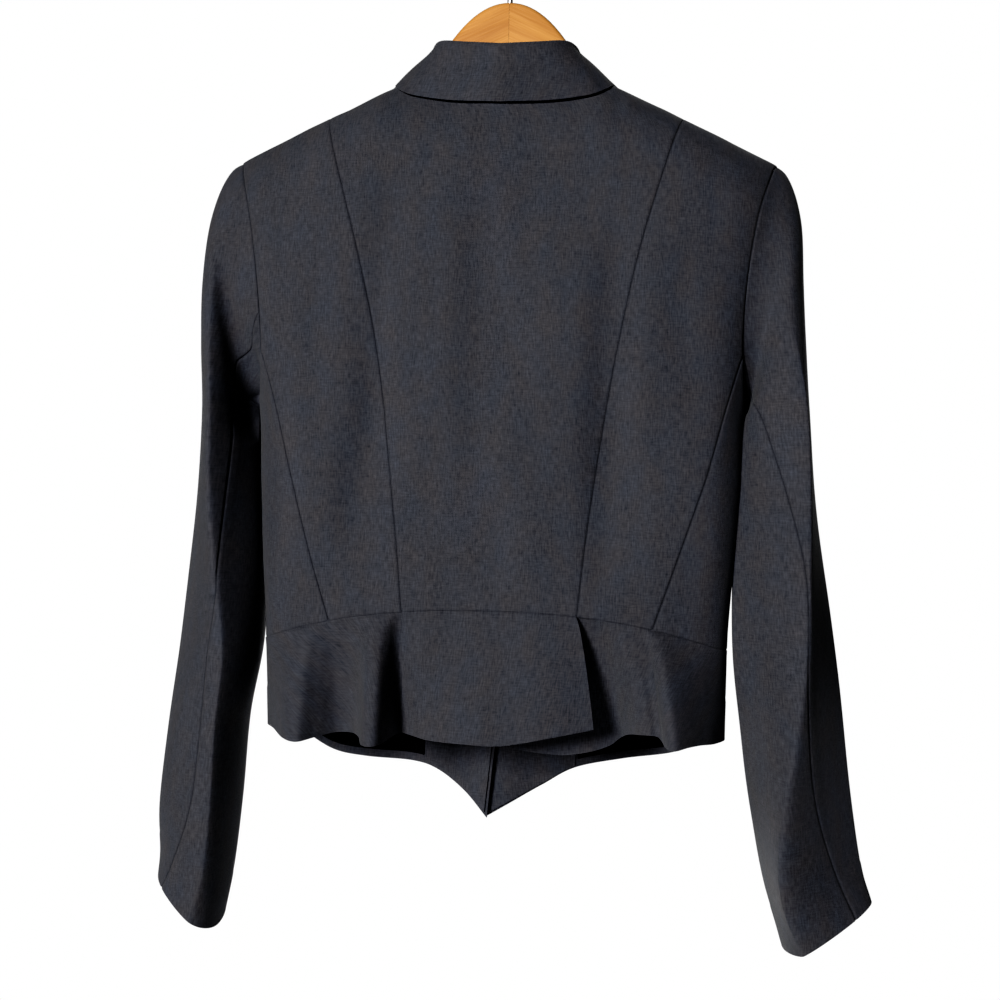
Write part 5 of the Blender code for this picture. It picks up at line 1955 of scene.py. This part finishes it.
@dataclass
class Hanger:
    """The wooden hanger: two arms glued at the middle, and a wire hook."""

    form: BodyForm
    arch_top: float = -0.0600
    arch_scale: float = 0.0112
    arch_power: float = 2.08
    arch_half: float = 0.044
    arch_tuck: float = 0.014
    arm_reach: float = 0.184
    arm_clear: float = 0.0042
    half_depth: float = 0.006
    rounding: float = 0.0032
    joint: float = 0.00006
    middle_low: float = -0.110
    end_height: float = 0.020
    nose: float = 0.006
    low_curve: float = 1.15
    top_steps: int = 48
    nose_steps: int = 9
    low_steps: int = 24
    rounding_steps: int = 5
    wire: float = 0.002
    wire_roundness: int = 6
    hook_inside: float = 0.020
    hook_bend: float = 0.006
    hook_bend_level: float = -0.048
    hook_bend_turns: tuple[float, float, int] = (180.0, 105.0, 8)
    hook_turns: tuple[float, float, int] = (-40.0, 205.0, 48)
    merge: float = 1e-5

    def arm_top(self, x: Array) -> Array:
        """Top edge of an arm: an arch in the neck, then along under the shoulder.

        Args:
            x: Places along the right-hand arm.

        Returns:
            The levels there.
        """
        arch = self.arch_top - self.arch_scale * (x * 1000) ** self.arch_power / 1000
        arch = arch - self.arch_tuck * ease((x - self.arch_half) / (self.form.neck_half - self.arch_half))
        return np.maximum(arch, self.form.shoulder(x) - self.arm_clear)

    def outline(self) -> list[tuple[float, float]]:
        """Outline of the right-hand arm, clockwise from the top of the joint.

        Returns:
            Places and levels round it.
        """
        top_x = np.linspace(self.joint, self.arm_reach, self.top_steps)
        start = float(self.arm_top(np.asarray(self.arm_reach)))
        end = start - self.end_height
        bow = np.linspace(0.0, 1.0, self.nose_steps)[1:-1]
        low_x = np.linspace(self.arm_reach, self.joint, self.low_steps)
        low = mix(self.middle_low, end, (low_x / self.arm_reach) ** self.low_curve)
        x = [*top_x, *(self.arm_reach + self.nose * np.sin(math.pi * bow)), *low_x]
        return list(zip(x, [*self.arm_top(top_x), *mix(start, end, bow), *low]))

    def arm(self, side: Side) -> Object:
        """An arm, cut from a board and rounded along its edges.

        Args:
            side: The side that it is on.

        Returns:
            The arm.
        """
        outline = self.outline()
        Workbench.clear()
        bpy.ops.mesh.primitive_circle_add(vertices=len(outline), radius=self.arm_reach, fill_type="NGON")
        arm = bpy.context.object
        for vertex, (x, z) in zip(arm.data.vertices, outline):
            vertex.co = (side.value * x, -self.half_depth, z)
        Workbench.edit_all()
        bpy.ops.mesh.extrude_region_move(TRANSFORM_OT_translate={"value": (0.0, 2 * self.half_depth, 0.0)})
        bpy.ops.mesh.select_all(action="SELECT")
        bpy.ops.mesh.normals_make_consistent(inside=False)
        bpy.ops.mesh.select_all(action="DESELECT")
        bpy.ops.object.mode_set(mode="OBJECT")
        for edge in arm.data.edges:
            ends = [arm.data.vertices[i].co for i in edge.vertices]
            edge.select = abs(ends[0].y - ends[1].y) < SEAM and max(abs(end.x) for end in ends) > SEAM
        Workbench.edit_edges()
        bpy.ops.mesh.bevel(offset=self.rounding, segments=self.rounding_steps)
        bpy.ops.object.mode_set(mode="OBJECT")
        return Workbench.settle(arm, f"wood_arm_{side.word}", wood_of(side), f"hanger_arm_{side.word}")

    def hook(self) -> Object:
        """The wire hook, bent round the rail and screwed into the joint.

        Returns:
            The hook.
        """
        radius = self.hook_inside + self.wire
        route = [(0.0, self.arch_top + self.joint), (0.0, (self.arch_top + self.hook_bend_level) / 2)]
        for angle in np.radians(np.linspace(*self.hook_bend_turns)):
            route.append((self.hook_bend * (1 + math.cos(angle)),
                          self.hook_bend_level + self.hook_bend * math.sin(angle)))
        for angle in np.radians(np.linspace(*self.hook_turns)):
            route.append((radius * math.cos(angle), radius * math.sin(angle) - self.hook_inside))
        points = [Vector((x, 0.0, z)) for x, z in route]
        hook = Workbench.bend_wire(points, self.wire, self.wire_roundness)
        Workbench.edit_all()
        bpy.ops.mesh.remove_doubles(threshold=self.merge)
        bpy.ops.mesh.normals_make_consistent(inside=False)
        bpy.ops.object.mode_set(mode="OBJECT")
        return Workbench.settle(hook, "wire_hook", STEEL, "hanger_hook")

    def build(self) -> list[Object]:
        """Build the hanger.

        Returns:
            The two arms, on which the jacket hangs.
        """
        self.hook()
        return [self.arm(side) for side in Side]


@dataclass
class Button:
    """The one button of the lapped fronts: dished, with four sewn holes."""

    form: BodyForm
    radius: float = 0.0100
    depth: float = 0.0030
    x: float = -0.005
    level: float = -0.505
    sides: int = 64
    rim: float = 0.0018
    well: float = 0.0010
    rounding: float = 0.0005
    rounding_steps: int = 3
    rounded_from: float = 35.0
    hole_ring: float = 0.0026
    hole_radius: float = 0.0008
    hole_sides: int = 20
    hole_turns: tuple[int, ...] = (45, 135, 225, 315)
    strand: float = 0.00042
    strand_roundness: int = 3
    strand_points: int = 15
    strand_rise: float = 0.0006
    strand_dip: float = 0.0022
    strand_power: int = 6
    top_facing: float = 0.9

    def build(self) -> None:
        """Model the button with its rim, well, holes and crossed thread."""
        spot = self.form.lapped_front(np.asarray(self.x), np.asarray(self.level))
        middle = Vector(spot) + Vector((0.0, SEAM + LAYER + self.depth / 2, 0.0))
        Workbench.clear()
        facing = (-math.pi / 2, 0.0, 0.0)
        bpy.ops.mesh.primitive_cylinder_add(vertices=self.sides, radius=self.radius, depth=self.depth,
                                            location=middle, rotation=facing)
        button = bpy.context.object
        bpy.ops.object.mode_set(mode="EDIT")
        bpy.ops.mesh.select_all(action="DESELECT")
        bpy.ops.object.mode_set(mode="OBJECT")
        for face in button.data.polygons:
            face.select = face.normal.z > self.top_facing
        bpy.ops.object.mode_set(mode="EDIT")
        bpy.ops.mesh.inset(thickness=self.rim, depth=0.0)
        bpy.ops.mesh.inset(thickness=self.well, depth=-self.well)
        bpy.ops.object.mode_set(mode="OBJECT")
        Workbench.apply(button, "BEVEL", width=self.rounding, segments=self.rounding_steps,
                        limit_method="ANGLE", angle_limit=math.radians(self.rounded_from))
        for turn in self.hole_turns:
            angle = math.radians(turn)
            place = middle + Vector((math.cos(angle), 0.0, math.sin(angle))) * self.hole_ring
            self.drill(button, place)
        Workbench.settle(button, "coat_button", HORN, "button")
        for slope in self.hole_turns[:2]:
            self.thread(middle, math.radians(slope))

    def drill(self, button: Object, place: Vector) -> None:
        """Drill one hole through the button.

        Args:
            button: The button.
            place: The middle of the hole.
        """
        Workbench.clear()
        bpy.ops.mesh.primitive_cylinder_add(vertices=self.hole_sides, radius=self.hole_radius,
                                            depth=4 * self.depth, location=place,
                                            rotation=(math.pi / 2, 0.0, 0.0))
        cutter = bpy.context.object
        Workbench.apply(button, "BOOLEAN", operation="DIFFERENCE", object=cutter, solver="EXACT")
        bpy.data.objects.remove(cutter, do_unlink=True)

    def thread(self, middle: Vector, slope: float) -> None:
        """Sew one strand across two of the holes.

        Args:
            middle: The middle of the button.
            slope: The strand's slope.
        """
        along = Vector((math.cos(slope), 0.0, math.sin(slope))) * self.hole_ring
        floor = self.depth / 2 - self.well
        route = []
        for t in np.linspace(-1.0, 1.0, self.strand_points):
            rise = floor + self.strand_rise - self.strand_dip * abs(t) ** self.strand_power
            route.append(middle + along * t + Vector((0.0, rise, 0.0)))
        strand = Workbench.bend_wire(route, self.strand, self.strand_roundness)
        Workbench.settle(strand, f"button_strand_{round(math.degrees(slope))}", THREAD)


class Lamp(NamedTuple):
    """A square soft light that is aimed at the jacket."""

    name: str
    place: Triple
    watts: float
    size: float


@dataclass
class Studio:
    """A pale floor, soft lights and the camera of the photo."""

    target: Triple = (0.0009, 0.0, -0.440)
    distance: float = 1.175
    azimuth: float = 4.7
    roll: float = 1.3
    lens: float = 55.19
    sensor: float = 36.0
    contrast: float = 0.72
    toe: tuple[tuple[float, float], ...] = (
        (0.010, 0.001), (0.020, 0.004), (0.035, 0.015), (0.050, 0.032), (0.070, 0.060), (0.095, 0.094),
    )
    floor_level: float = -1.60
    floor_half: float = 1.80
    floor_colour: Triple = (0.82, 0.82, 0.81)
    floor_roughness: float = 0.9
    ambient: float = 0.012
    lamps: tuple[Lamp, ...] = (
        Lamp("key", (-1.56, -4.25, 0.42), 432.0, 0.9),
        Lamp("fill", (-0.35, -2.40, -0.10), 0.8, 1.4),
        Lamp("front", (-0.60, 2.10, -0.10), 62.0, 1.0),
        Lamp("rim", (0.90, 2.00, 0.10), 14.0, 0.8),
    )

    def floor(self) -> None:
        """A plain pale floor below the jacket."""
        Workbench.clear()
        bpy.ops.mesh.primitive_plane_add(size=2 * self.floor_half, location=(0.0, 0.0, self.floor_level))
        floor = bpy.context.object
        floor.name = "studio_floor"
        made = bpy.data.materials.new("studio_floor")
        made.use_nodes = True
        looks = {"Base Color": (*self.floor_colour, 1.0), "Roughness": self.floor_roughness}
        NodeGraph(made.node_tree).feed(made.node_tree.nodes["Principled BSDF"], looks)
        floor.data.materials.append(made)

    def world(self) -> None:
        """A white surround for the camera, which lights the jacket only a little."""
        world = bpy.data.worlds.new("studio")
        bpy.context.scene.world = world
        world.use_nodes = True
        graph = NodeGraph(world.node_tree)
        seen = graph.add("LightPath").outputs["Is Camera Ray"]
        strength = graph.span(seen, 0.0, 1.0, (self.ambient, 1.0))
        white = (1.0, 1.0, 1.0, 1.0)
        graph.feed(world.node_tree.nodes["Background"], {"Color": white, "Strength": strength})

    def light(self, lamp: Lamp) -> None:
        """Hang one light and aim it at the jacket.

        Args:
            lamp: The light.
        """
        data = bpy.data.lights.new(lamp.name, "AREA")
        data.energy, data.size = lamp.watts, lamp.size
        hung = bpy.data.objects.new(lamp.name, data)
        hung.location = lamp.place
        aim = Vector(self.target) - Vector(lamp.place)
        hung.rotation_euler = aim.to_track_quat("-Z", "Y").to_euler()
        bpy.context.scene.collection.objects.link(hung)

    def camera(self) -> None:
        """The photo's camera: level, a little to the right, and rolled."""
        turn, roll = math.radians(self.azimuth), math.radians(self.roll)
        ahead = Vector((-math.sin(turn), math.cos(turn), 0.0))
        right, up = Vector((math.cos(turn), math.sin(turn), 0.0)), Vector((0.0, 0.0, 1.0))
        across = right * math.cos(roll) + up * math.sin(roll)
        upward = up * math.cos(roll) - right * math.sin(roll)
        view = bpy.data.cameras.new("photo")
        view.lens, view.sensor_width = self.lens, self.sensor
        camera = bpy.data.objects.new("photo", view)
        place = Vector(self.target) - ahead * self.distance
        axes = Matrix((across, upward, -ahead)).transposed().to_4x4()
        camera.matrix_world = Matrix.Translation(place) @ axes
        bpy.context.scene.collection.objects.link(camera)
        bpy.context.scene.camera = camera

    def develop(self) -> None:
        """Give the picture the photo's contrast and deep shadows."""
        settings = bpy.context.scene.view_settings
        settings.view_transform = "Standard"
        settings.gamma = self.contrast
        settings.use_curve_mapping = True
        toe = settings.curve_mapping.curves[3]
        for light, shown in self.toe:
            toe.points.new(light, shown)
        settings.curve_mapping.update()

    def build(self) -> None:
        """Set the stage."""
        self.floor()
        self.world()
        for lamp in self.lamps:
            self.light(lamp)
        self.camera()
        self.develop()


def main() -> None:
    """Build and dress the jacket and its hanger, and set the stage."""
    logging.basicConfig(level=logging.INFO, format="%(message)s")
    form = BodyForm()
    hang = Hanger(form).build()
    Bodice(form).build(hang)
    Collar(form).build(hang)
    for side, rings, creases in (
        (Side.LEFT, SLEEVE_LEFT, LEFT_SLEEVE_CREASES),
        (Side.RIGHT, SLEEVE_RIGHT, RIGHT_SLEEVE_CREASES),
    ):
        Sleeve(form, side, rings, creases).build(hang)
    Peplum(form).build(hang)
    Button(form).build()
    Studio().build()


if __name__ == "__main__":
    main()
